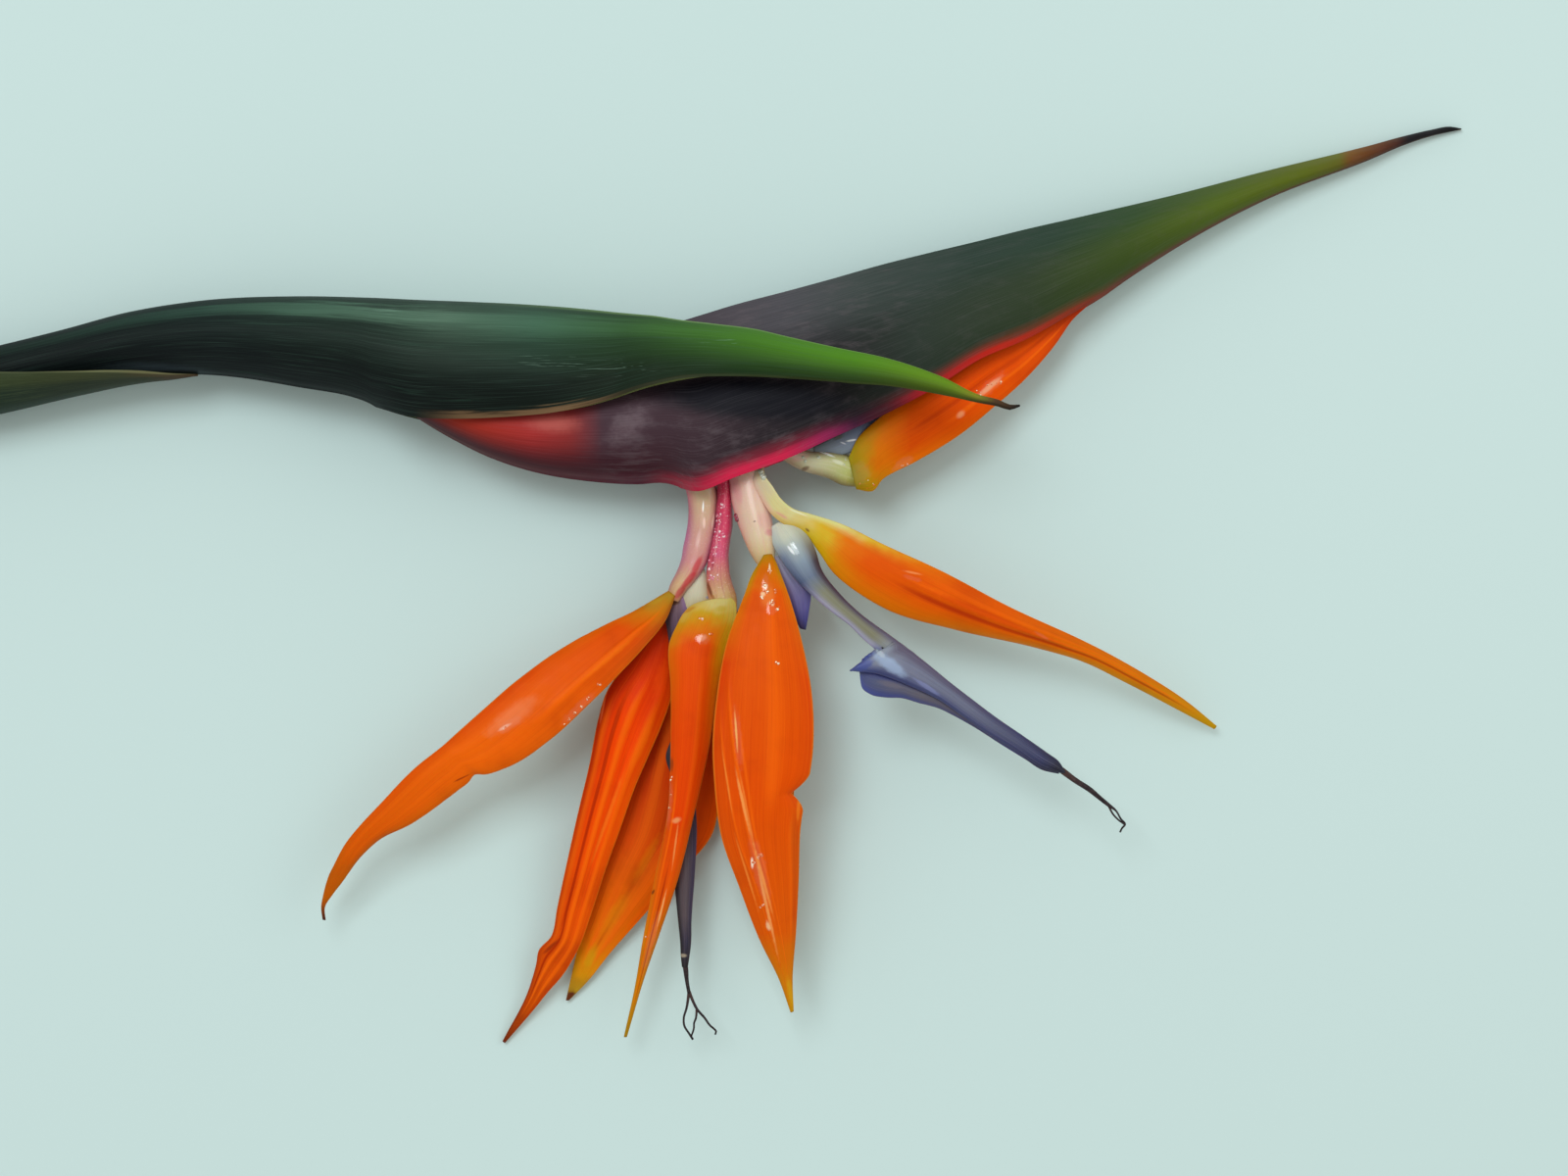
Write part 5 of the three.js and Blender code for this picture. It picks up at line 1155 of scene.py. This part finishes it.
UPPER_WING_3_EDGES = [
    [50.4, 12.2, 15.8, 47.6, 10.6, 15.8, 0.3], [52.4, 11.2, 16.6, 47.7, 8.2, 16.4, 1],
    [54.6, 8.7, 17.2, 48.7, 5.8, 17, 1.7], [55.8, 6.2, 17.8, 50.3, 3.3, 17.6, 1.7],
    [56.8, 3, 18.4, 52.6, 0.5, 18.2, 1.2], [60, -1.4, 18.9, 57.2, -3.8, 18.7, 0.7],
    [64.5, -5.7, 19.3, 62.3, -7.8, 19.1, 0.6], [66.8, -7.4, 19.4, 64.5, -10, 19.3, 0.6],
    [69.2, -9.1, 19.6, 66.6, -11.8, 19.5, 0.6], [70.3, -9.9, 19.6, 67.7, -12.7, 19.5, 0.7],
    [71.1, -10.5, 19.6, 66.4, -13.1, 19.6, 0.8], [71.7, -10.9, 19.6, 64.3, -13.9, 19.9, 0.9],
    [72.2, -11.3, 19.6, 61.9, -15.7, 20.2, 0.9], [72.7, -11.7, 19.6, 63.9, -15.9, 19.9, 0.9],
    [73.3, -12.1, 19.6, 66, -16.1, 19.7, 1], [74.4, -13, 19.5, 70, -17.3, 19.5, 1],
    [76.3, -14.5, 19.4, 73.6, -18.8, 19.3, 1], [80.2, -17.7, 19.1, 78.2, -21, 19, 0.9],
    [84.6, -21.1, 18.6, 82.8, -24.2, 18.5, 0.9], [89, -24.4, 18, 87.4, -27.4, 17.9, 0.8],
    [93.4, -27.4, 17.4, 92, -30.2, 17.3, 0.7], [98.4, -30.9, 16.8, 97, -33.6, 16.8, 0.6],
    [100.3, -32.3, 16.6, 99.1, -34.3, 16.6, 0.5], [101.2, -33.6, 16.4, 100.7, -34.5, 16.4, 0.3],
    [101.6, -34.3, 16.3, 101.4, -34.6, 16.3, 0.1],
]
LOWER_WING_3_EDGES = [
    [63.5, -15.4, 18.9, 63.8, -16, 18.8, 0], [64.4, -15.2, 18.8, 63.9, -17.1, 18.5, 0.1],
    [65.2, -15.3, 18.7, 64.3, -18.9, 18.2, 0.2], [66.6, -15.5, 18.6, 65.9, -20.1, 18, 0.4],
    [68.8, -16.2, 18.5, 68.2, -20.6, 17.9, 0.5], [71.8, -17.2, 18.4, 71.8, -20.8, 17.9, 0.5],
    [74.4, -18.3, 18.3, 74.5, -21.6, 17.9, 0.5], [78, -20, 18.1, 78.2, -22.6, 17.8, 0.4],
    [80.8, -21.8, 17.9, 80.9, -23.9, 17.6, 0.3], [84.8, -24.6, 17.5, 85, -26.2, 17.3, 0.2],
    [89.2, -27.5, 17, 89.5, -29.1, 16.8, 0.2], [93.8, -30.4, 16.5, 94.2, -32, 16.4, 0.1],
    [97.4, -33, 16.1, 97.4, -34, 16.1, 0.1], [100.4, -34.3, 15.9, 100.4, -34.7, 15.9, 0.1],
]
HOOD_1_EDGES = [
    [34.5, 2.9, 11, 35.3, 2.9, 11, 0.1], [32.9, 0.9, 11.2, 35.9, 0.9, 11.2, 0.4],
    [31.4, -1.5, 11.4, 36.5, -1.5, 11.4, 0.5], [30.5, -3.9, 11.4, 36.8, -3.4, 11.4, 0.5],
    [31, -7.2, 11.2, 35.4, -7.4, 11.4, 0.2],
]
HOOD_2_EDGES = [
    [35.1, -2.4, 11.7, 36.3, -1.9, 11.7, 0.1], [34.8, -4.6, 11, 36.8, -4.4, 11, 0.3],
    [34.3, -9, 11, 37.4, -9, 11, 0.5], [35, -15, 11.2, 36.4, -15, 11.2, 0.1],
]
HOOD_3_EDGES = [
    [48, 5.2, 15.8, 49.3, 5.2, 15.8, 0.2], [48.7, 2.1, 16.3, 52.1, 2.1, 16.3, 0.7],
    [50, -1.5, 16.5, 54.8, -1.1, 16.5, 0.8], [51.4, -5.1, 16.3, 54.6, -4.9, 16.3, 0.7],
    [52.9, -8, 15.9, 54, -8.3, 15.9, 0.2],
]
FOLDED_PETALS_4_ROWS = [
    [55.6, 24.6, 11.2, 0.9, 0.8], [59.6, 25.6, 11.6, 1.9, 1], [63.4, 27.2, 11.6, 2.2, 1],
    [68.2, 30.2, 10.2, 1.6, 0.8], [77.2, 36.6, 9, 1.5, 0.7], [86.3, 42.3, 8.6, 1.1, 0.6],
    [93.6, 45.8, 8, 0.5, 0.5],
]


def petal_look(name, along, left, right=None, light="9aa0c8", shade="1c1830", marks=(), wet=()):
    """Colours along the middle and the two edges of a petal, with its veins, its marks and its wet spots."""
    paint = Paint(name, 0.42, flesh=0.08, coat=0.05, specular=0.25)
    veins = paint.grained(2.5, 34, detail=4)
    fine = paint.grained(9, 120, detail=3)
    paint.base = paint.ramp(paint.u, along)
    paint.streak(paint.v, 0.42, 0.06, 1.0, paint.ramp(paint.u, left))
    paint.streak(paint.v, 0.58, 0.94, 1.0, paint.ramp(paint.u, right or left))
    paint.streak(veins, 0.52, 0.75, 0.35, light)
    paint.streak(veins, 0.45, 0.25, 0.40, shade)
    paint.streak(fine, 0.55, 0.75, 0.20, light)
    paint.mark(marks, soft=0.6, ragged=0.5)
    if wet:
        paint.wet(wet)
    return paint.finish(paint.plus(veins, paint.times(fine, 0.5)), 0.08, 0.6)


def petal(name, edges, look, **shape):
    """A blade as thick as a petal."""
    return blade(name, edges, look, thickness=PETAL_THICKNESS, **shape)


def joined(name, parts):
    """One piece made of one or several."""
    chosen = {"active_object": parts[0], "selected_editable_objects": parts, "selected_objects": parts}
    if len(parts) > 1:
        with bpy.context.temp_override(**chosen):
            bpy.ops.object.join()
    parts[0].name = name
    return parts[0]


arrow_1_look = petal_look(
    "arrow_1_purple",
    along="0 7a5a60, 12 4a3a5c, 30 3a2c44, 60 5c4e54, 86 54484e, 93 28243c, 100 141014",
    left="0 3a2430, 50 221a26, 80 1e181e, 100 141014",
    right="0 8a6a8c, 15 6a5488, 60 443a54, 85 342c44, 100 141014",
    light="9a8a90",
    shade="16101a",
    marks=[(31.4, -68.6, 0.9, 0.5, 0, 0.7, "b8a890"), (29.8, -3.4, 1.4, 0.5, 10, 0.85, "5a3418")],
)
arrow_2_look = petal_look(
    "arrow_2_purple",
    along="0 8a7a80, 30 4a4470, 80 3a3050, 100 1c1820",
    left="0 6a5a70, 50 3a3260, 100 1c1820",
)
upper_wing_3_look = petal_look(
    "arrow_3_upper_blue",
    along=(
        "0 d4d4c0, 4.5 c8ccb8, 8 a4b0b0, 12 8494a4, 16 66748a, 21 808068, 37 7c7a60, 44 8890a0, 52 767a90, "
        "70 686c84, 93 30345a, 97.5 161426, 100 100e1c"
    ),
    left="0 c8c8b0, 5 b4b49c, 9 7c7464, 13 3c2c34, 25 463444, 42 5c5468, 60 564e68, 85 34345c, 100 14122a",
    right=(
        "0 ccd4c8, 5 a8b4b4, 9 7484a0, 16 4c5a7c, 22 9c98b0, 38 9c9cb4, 42 4a589c, 50 3c4270, 62 404674, "
        "85 383a64, 97 1a1830, 100 100e1c"
    ),
    light="9a9cb8",
    shade="2c2a48",
    marks=[
        # The pale blue streaks at (69.4, -14.6), (67.6, -12.5) and (76, -18.6) are painted highlights along
        # the crease between the wings, and the near-white streaks at (51.3, 6.3) and (52, 6.9) are painted
        # highlights on its base.
        (69.4, -14.6, 4.6, 1.5, -35, 0.75, "a0b4d4"), (67.6, -12.5, 1.4, 0.6, -42, 0.7, "b4c0cc"),
        (76, -18.6, 4, 0.5, -33, 0.45, "8c94c8"), (64.8, -14.7, 2.4, 0.9, 30, 0.7, "44529c"),
        (51.3, 6.3, 1.3, 0.34, -50, 0.85, "f8fcff"), (52, 6.9, 0.9, 0.2, -50, 0.7, "e8f0f4"),
        (54.7, 9.2, 0.7, 0.5, -40, 0.8, "8a6a3c"), (55.9, 6.4, 0.35, 1.6, 10, 0.8, "4a3a2c"),
    ],
    wet=[(51, 7.2, 3.4, 2.6, -50)],
)
lower_wing_3_look = petal_look(
    "arrow_3_lower_violet",
    along="0 444c80, 10 4e5474, 30 605c68, 50 585468, 70 464668, 100 20204a",
    left="0 303a84, 40 363c80, 80 2c3272, 100 20204a",
    right="0 4a5498, 12 3c4684, 40 484a6c, 80 3a3e74, 100 20204a",
    light="84809c",
    shade="2a2a50",
    marks=[(69.5, -18.2, 3, 0.8, -14, 0.5, "6e6670")],
)
arrow_4_look = petal_look(
    "arrow_4_blue",
    along="0 8c98a0, 30 66749c, 100 3a4070",
    left="0 8c98a0, 50 505c88, 100 3a4070",
    marks=[
        # The two near-white streaks are painted highlights.
        (62.4, 26.6, 1.3, 0.25, 10, 0.9, "f0f4f8"), (60.9, 26.1, 0.8, 0.2, -20, 0.8, "dce4ec"),
        (60, 27.2, 1.4, 0.6, 20, 0.6, "6a684c"),
    ],
)
hood_cream_look = petal_look(
    "hood_1_cream",
    along="0 ccc8b0, 50 c8c4a8, 80 c0ac70, 100 b08c30",
    left="0 c4b8a4, 60 bcb498, 100 b08c30",
    right="0 c4b098, 60 c0a880, 100 b08c30",
    light="dcdcc8",
    shade="a8947c",
)
hood_violet_look = petal_look(
    "hood_violet",
    along="0 a09cac, 30 807c9c, 60 6c6698, 85 4a4888, 100 1c1c48",
    left="0 94889c, 40 786c90, 80 484288, 100 1c1c48",
    right="0 727890, 40 4a4468, 70 5c5698, 90 3a3880, 100 1c1c48",
    light="9088b4",
    shade="262048",
)
arrow_3_wings = [
    petal(
        "upper_wing_3", UPPER_WING_3_EDGES, upper_wing_3_look, cell=0.4, columns=40,
        folds=[
            (0.5, 0.5, 0.26, -0.8, 0.1, 0.36), (0.09, 0.09, 0.07, 0.2, 0.1, 0.5),
            (0.9, 0.9, 0.06, 0.2, 0.1, 0.42), (0.4, 0.3, 0.035, -0.22, 0.42, 0.98),
            (0.72, 0.66, 0.04, -0.12, 0.5, 0.98), (0.9, 0.86, 0.05, 0.2, 0.5, 0.98),
        ],
    ),
    blade(
        "lower_wing_3", LOWER_WING_3_EDGES, lower_wing_3_look, thickness=LOWER_WING_THICKNESS, cell=0.4,
        columns=20,
        folds=[(0.5, 0.5, 0.15, 0.2, 0.05, 0.6), (0.85, 0.8, 0.06, -0.15, 0.05, 0.9)],
    ),
]
for flower, node, slot, piece in (
    (1, "arrow_petals", "petal_dark", petal(
        "arrow_1_petals", ARROW_1_EDGES, arrow_1_look, ridge=True, flutter=0.15,
        folds=[(0.35, 0.35, 0.08, -0.2, 0.1, 0.95), (0.7, 0.7, 0.08, 0.15, 0.1, 0.95)],
    )),
    (2, "arrow_petals", "petal_dark", petal("arrow_2_petals", ARROW_2_EDGES, arrow_2_look, ridge=True)),
    (3, "arrow_petals", "petal_blue", joined("arrow_3_petals", arrow_3_wings)),
    (4, "arrow_petals", "petal_blue", tube(
        "arrow_4_petals", FOLDED_PETALS_4_ROWS, cell=0.5, sides=24, look=arrow_4_look,
    )),
    (1, "hood_petal", "ovary_cream", petal(
        "hood_1_petal", HOOD_1_EDGES, hood_cream_look, columns=16, cell=0.3,
    )),
    (2, "hood_petal", "petal_blue", petal(
        "hood_2_petal", HOOD_2_EDGES, hood_violet_look, columns=16, cell=0.3,
    )),
    (3, "hood_petal", "petal_blue", petal(
        "hood_3_petal", HOOD_3_EDGES, hood_violet_look, columns=24, cell=0.3,
        folds=[
            (0.62, 0.62, 0.06, -0.45, 0, 0.8), (0.8, 0.75, 0.1, 0.25, 0.2, 0.95),
            (0.3, 0.35, 0.12, 0.2, 0, 0.95),
        ],
    )),
):
    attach(piece, "root")
    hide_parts(f"flower_{flower}_{node}")


# Styles
# The thread that runs out of the arrow's tip and forks into thin stigma lobes, brown and dry, almost black.
STYLE_1_ROWS = [
    [31.6, -69.6, 9.2, 0.5, 0.35], [31.8, -71.4, 8.9, 0.48, 0.4], [32, -73.4, 8.7, 0.36, 0.36],
    [32.4, -75.8, 8.4, 0.32, 0.32],
]
STYLE_1_LEFT_LOBE_ROWS = [
    [32.4, -75.4, 8.4, 0.3, 0.3], [31.9, -78.6, 8.2, 0.22, 0.22], [31.4, -80.4, 8.1, 0.2, 0.2],
    [31.5, -81.8, 8, 0.2, 0.2], [32.4, -83.3, 7.9, 0.2, 0.2], [33.1, -84.4, 7.8, 0.22, 0.22],
]
STYLE_1_RIGHT_LOBE_ROWS = [
    [32.4, -75.4, 8.4, 0.3, 0.3], [33.1, -77.2, 8.3, 0.27, 0.27], [33.8, -78.6, 8.3, 0.25, 0.25],
    [35.3, -80.4, 8.1, 0.22, 0.22], [36.3, -81.8, 8, 0.2, 0.2], [37, -82.4, 7.9, 0.19, 0.19],
    [37.4, -82.9, 7.8, 0.18, 0.18], [37.2, -83.5, 7.8, 0.16, 0.16],
]
STYLE_1_MIDDLE_LOBE_ROWS = [
    [33.8, -78.5, 8.3, 0.22, 0.22], [33.65, -80.4, 8.2, 0.2, 0.2], [33.3, -81.4, 8.1, 0.18, 0.18],
    [33.3, -82.1, 8.1, 0.18, 0.18], [32.8, -83.8, 7.9, 0.16, 0.16],
]
STYLE_2_ROWS = [
    [47.3, -64, 13.3, 0.4, 0.4], [49, -69.4, 12.4, 0.4, 0.4], [50.3, -74, 11.5, 0.35, 0.35],
]
STYLE_3_ROWS = [
    [100.9, -34, 16, 0.6, 0.42], [103.6, -36, 15.4, 0.52, 0.42], [106.1, -37.6, 14.9, 0.5, 0.42],
    [108.3, -39.4, 14.3, 0.4, 0.38], [109.8, -40.6, 13.9, 0.34, 0.32], [111.1, -41.6, 13.6, 0.19, 0.19],
    [112, -43.1, 13.3, 0.18, 0.18], [112.8, -44.2, 13.1, 0.2, 0.2], [112.3, -44.8, 13, 0.18, 0.18],
    [111.9, -45.6, 12.9, 0.17, 0.17],
]
STYLE_3_SIDE_LOBE_ROWS = [
    [109.6, -40.5, 13.9, 0.2, 0.2], [110.7, -42.4, 13.4, 0.18, 0.18], [111.7, -43.4, 13.2, 0.17, 0.17],
    [112.7, -44.1, 13.1, 0.18, 0.18],
]


def style_look():
    paint = Paint("style_brown", 0.6)
    twist = paint.grained(14, 6, detail=3)
    paint.base = paint.ramp(paint.u, "0 4a3430, 30 2a1f24, 100 141015")
    paint.streak(twist, 0.45, 0.75, 0.4, "6a5a58")
    return paint.finish(twist, 0.1, 0.6)


style_brown = style_look()
for number, threads in (
    (1, (STYLE_1_ROWS, STYLE_1_LEFT_LOBE_ROWS, STYLE_1_RIGHT_LOBE_ROWS, STYLE_1_MIDDLE_LOBE_ROWS)),
    (2, (STYLE_2_ROWS,)),
    (3, (STYLE_3_ROWS, STYLE_3_SIDE_LOBE_ROWS)),
):
    parts = [
        tube(f"style_{number}_thread_{k}", rows, cell=0.3, sides=12, look=style_brown)
        for k, rows in enumerate(threads)
    ]
    piece = joined(f"style_{number}_threads", parts)
    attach(piece, "root")
    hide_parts(f"flower_{number}_style")


# Nectar and vessels
# Sticky nectar seeps from the feet of the flowers. It stands in flattened beads on the sepals and as clear
# slime beside the last flower, and has dried to sugar grains on one ovary and a dark drop on another. The
# cut end of the stem shows the ends of its vessels as small raised dots.
BEAD_INPUTS = (
    ("Guide", "NodeSocketGeometry"),
    ("Carrier", "NodeSocketObject"),
    ("Look", "NodeSocketMaterial"),
    ("Amount", "NodeSocketInt"),
    ("Scatter", "NodeSocketVector"),
    ("Smallest", "NodeSocketFloat"),
    ("Largest", "NodeSocketFloat"),
    ("Flatness", "NodeSocketFloat"),
    ("Direction", "NodeSocketVector"),
    ("Seed", "NodeSocketInt"),
)
START_BACK = 0.03
ABOVE = 60
VESSEL_COUNT = 90
VESSEL_TURN = 2.399963
VESSEL_RING = 5.0
BEFORE_CUT_X = -178
CUT_Y = 23.2
CUT_Z = 5.6


def bead_tree():
    """Beads of random size round guide points, dropped along a direction on to a carrier's surface."""
    tree = bpy.data.node_groups.new("beads_on_a_surface", "GeometryNodeTree")
    for title, kind in BEAD_INPUTS:
        tree.interface.new_socket(title, in_out="INPUT", socket_type=kind)
    tree.interface.new_socket("Beads", in_out="OUTPUT", socket_type="NodeSocketGeometry")
    given = tree.nodes.new("NodeGroupInput").outputs
    scatter, way, seed = given["Scatter"], given["Direction"], given["Seed"]

    def add(kind, inputs=None, **settings):
        return add_node(tree, kind, inputs, **settings)

    def changed(kind, geometry, inputs=None, **settings):
        return add(kind, {"Geometry": geometry, **(inputs or {})}, **settings)[0]

    points = add("GeometryNodeMeshToPoints", {"Mesh": given["Guide"]})["Points"]
    points = changed("GeometryNodeDuplicateElements", points, {"Amount": given["Amount"]}, domain="POINT")
    below = add("ShaderNodeVectorMath", {0: scatter, 1: (-1, -1, -1)}, operation="MULTIPLY")[0]
    offset = add("FunctionNodeRandomValue", {0: below, 1: scatter, 8: seed}, data_type="FLOAT_VECTOR")[0]
    points = changed("GeometryNodeSetPosition", points, {"Offset": offset})
    back = add("ShaderNodeVectorMath", {0: way, 3: START_BACK}, operation="SCALE")[0]
    here = add("GeometryNodeInputPosition")[0]
    start = add("ShaderNodeVectorMath", {0: here, 1: back}, operation="SUBTRACT")[0]
    carrier = add("GeometryNodeObjectInfo", {"Object": given["Carrier"]})["Geometry"]
    aim = {"Target Geometry": carrier, "Source Position": start, "Ray Direction": way, "Ray Length": 1.0}
    ray = add("GeometryNodeRaycast", aim)
    missed = add("FunctionNodeBooleanMath", {0: ray["Is Hit"]}, operation="NOT")[0]
    points = changed("GeometryNodeDeleteGeometry", points, {"Selection": missed}, domain="POINT")
    points = changed("GeometryNodeSetPosition", points, {"Position": ray["Hit Position"]})
    ball = add("GeometryNodeMeshIcoSphere", {"Radius": 1.0, "Subdivisions": 3})["Mesh"]
    shape = add("ShaderNodeCombineXYZ", {"X": 1.0, "Y": 1.0, "Z": given["Flatness"]})[0]
    bead = changed("GeometryNodeTransform", ball, {"Scale": shape})
    turn = add("FunctionNodeAlignRotationToVector", {"Vector": ray["Hit Normal"]}, axis="Z")[0]
    limits = {2: given["Smallest"], 3: given["Largest"], 8: seed}
    size = add("FunctionNodeRandomValue", limits, data_type="FLOAT")[1]
    laid = {"Points": points, "Instance": bead, "Rotation": turn, "Scale": size}
    beads = changed("GeometryNodeRealizeInstances", add("GeometryNodeInstanceOnPoints", laid)[0])
    beads = changed("GeometryNodeSetShadeSmooth", beads)
    beads = changed("GeometryNodeSetMaterial", beads, {"Material": given["Look"]})
    tree.links.new(beads, tree.nodes.new("NodeGroupOutput").inputs["Beads"])
    return tree


def wet_look(name, code, pale, shine=0.05):
    """A clear wet bead over a colour; a share of the beads, picked by noise, take the paler colour: painted
    glints, and dried sugar on the rose ovary.
    """
    paint = Paint(name, 0.10, flesh=0.1, coat=1.0, coat_roughness=shine, specular=0.5)
    paint.base = paint.mix(paint.ease(paint.noise(paint.mm, 2.0), 0.50, 0.58), code, pale)
    return paint.finish()


bead_nodes = bead_tree()
# The second colour of each nectar look is painted: pale glints on the beads, and pale dried sugar as well on
# the rose ovary.
amber = wet_look("nectar_on_orange", "e06408", "fce4c0")
sugar = wet_look("nectar_on_rose", "e06c88", "fce0e4", shine=0.12)
clear = wet_look("nectar_on_cream", "b4b8a0", "d8dccc")
dried = wet_look("nectar_dried_red", "7a1430", "a03048", shine=0.2)
vessel = wet_look("vessel_ends", "6e7a40", "8a9460", shine=0.4)


def beads(
    name, carrier, look, slot, places, size, amount=1, scatter=0.0, flatness=0.6, seed=1, along=(0, 0, -1),
):
    """A mesh of beads round places, in mm, on a carrier. A place of x and y lies above the flower."""
    mesh = bpy.data.meshes.new(name)
    mesh.from_pydata([[part * MM for part in (*place, ABOVE)[:3]] for place in places], [], [])
    piece = put_in_scene(name, mesh)
    spread = tuple(scatter * MM * (1 - abs(part)) for part in along)
    smallest, largest = (radius * MM for radius in size)
    surface = bpy.data.objects[carrier]
    values = (None, surface, look, amount, spread, smallest, largest, flatness, along, seed)
    modifier = piece.modifiers.new("beads", "NODES")
    modifier.node_group = bead_nodes
    inputs = [item for item in bead_nodes.interface.items_tree if item.in_out == "INPUT"]
    for item, value in zip(inputs, values):
        if value is not None:
            modifier[item.identifier] = value
    graph = bpy.context.evaluated_depsgraph_get()
    finished = bpy.data.meshes.new_from_object(piece.evaluated_get(graph), depsgraph=graph)
    piece.modifiers.clear()
    piece.data = finished
    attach(piece, "root")


beads(
    "beads_sepal_1", "sepal_1_left_blade", amber, "sepal_orange",
    places=[(16.3, -18), (14.1, -20.8), (13.1, -22.2), (12, -23.3), (10.9, -24.6), (9.8, -25.8), (-1, -26.3)],
    size=(0.1, 0.28), amount=2, scatter=0.4, seed=3,
)
beads(
    "beads_sepal_2", "sepal_2_front_blade", amber, "sepal_orange",
    places=[(34.7, -6.2), (36.7, -8.9), (29.3, -35.6), (29.2, -38.8), (29, -41.1), (24.6, -65.2)],
    size=(0.12, 0.3), amount=2, scatter=0.3, seed=5,
)
beads(
    "beads_sepal_3", "sepal_3_front_blade", amber, "sepal_orange",
    places=[
        (47.3, 2.4), (46.2, -0.2), (46.8, -1.3), (46.1, -2.2), (48.2, -1.3), (47.9, -2.9), (48.8, -4.2),
        (48.6, -14), (44.3, -50.6), (45.5, -49.3), (46.1, -58.4), (46.6, -0.3), (46.3, -1), (47.7, -3.6),
    ],
    size=(0.1, 0.34), amount=3, scatter=0.4, seed=7,
)
beads(
    "beads_sepal_4", "sepal_4_front_blade", amber, "sepal_orange",
    places=[(63.5, 18.8), (72.2, 21.8), (66.2, 18.6), (88, 36.6), (89.6, 37.8), (86.4, 35.4)],
    size=(0.06, 0.2), amount=4, scatter=0.9, seed=9,
)
beads(
    "sugar_ovary_2", "ovary_tube_2", sugar, "ovary_rose",
    places=[
        (38.6, 14.4), (38, 13), (37.8, 11.5), (37.7, 10), (37.6, 8.6), (37.4, 7), (37, 5.6), (36.6, 4.3),
        (36.4, 3), (36.2, 1.4), (37.3, 1.4), (38.6, 9),
    ],
    size=(0.08, 0.26), amount=6, scatter=0.5, seed=11,
)
beads(
    "mucilage_ovary_4", "ovary_tube_4", clear, "ovary_cream",
    places=[(53.5, 23.4), (57, 23.9), (61.5, 22.6)],
    size=(0.12, 0.35), amount=3, scatter=0.8, seed=13, flatness=0.5,
)
beads(
    "mucilage_sepal_3", "sepal_3_right_blade", clear, "ovary_cream",
    places=[(45.8, 20.8), (46.1, 20.2), (46.3, 19.6)],
    size=(0.3, 0.6), amount=2, scatter=0.25, seed=15, flatness=0.6,
)
beads(
    "dry_bead_ovary_3", "ovary_tube_3", dried, "ovary_rose",
    places=[(41.2, 12.6), (41.4, 12)],
    size=(0.45, 0.6), seed=19, flatness=0.8,
)
spiral = [(VESSEL_RING * np.sqrt(i / VESSEL_COUNT), VESSEL_TURN * i) for i in range(1, VESSEL_COUNT)]
beads(
    "vessel_ends", "scape_stem", vessel, "stem_green",
    places=[(BEFORE_CUT_X, CUT_Y + far * np.cos(turn), CUT_Z + far * np.sin(turn)) for far, turn in spiral],
    size=(0.1, 0.24), seed=17, flatness=0.3, along=(1, 0, 0),
)
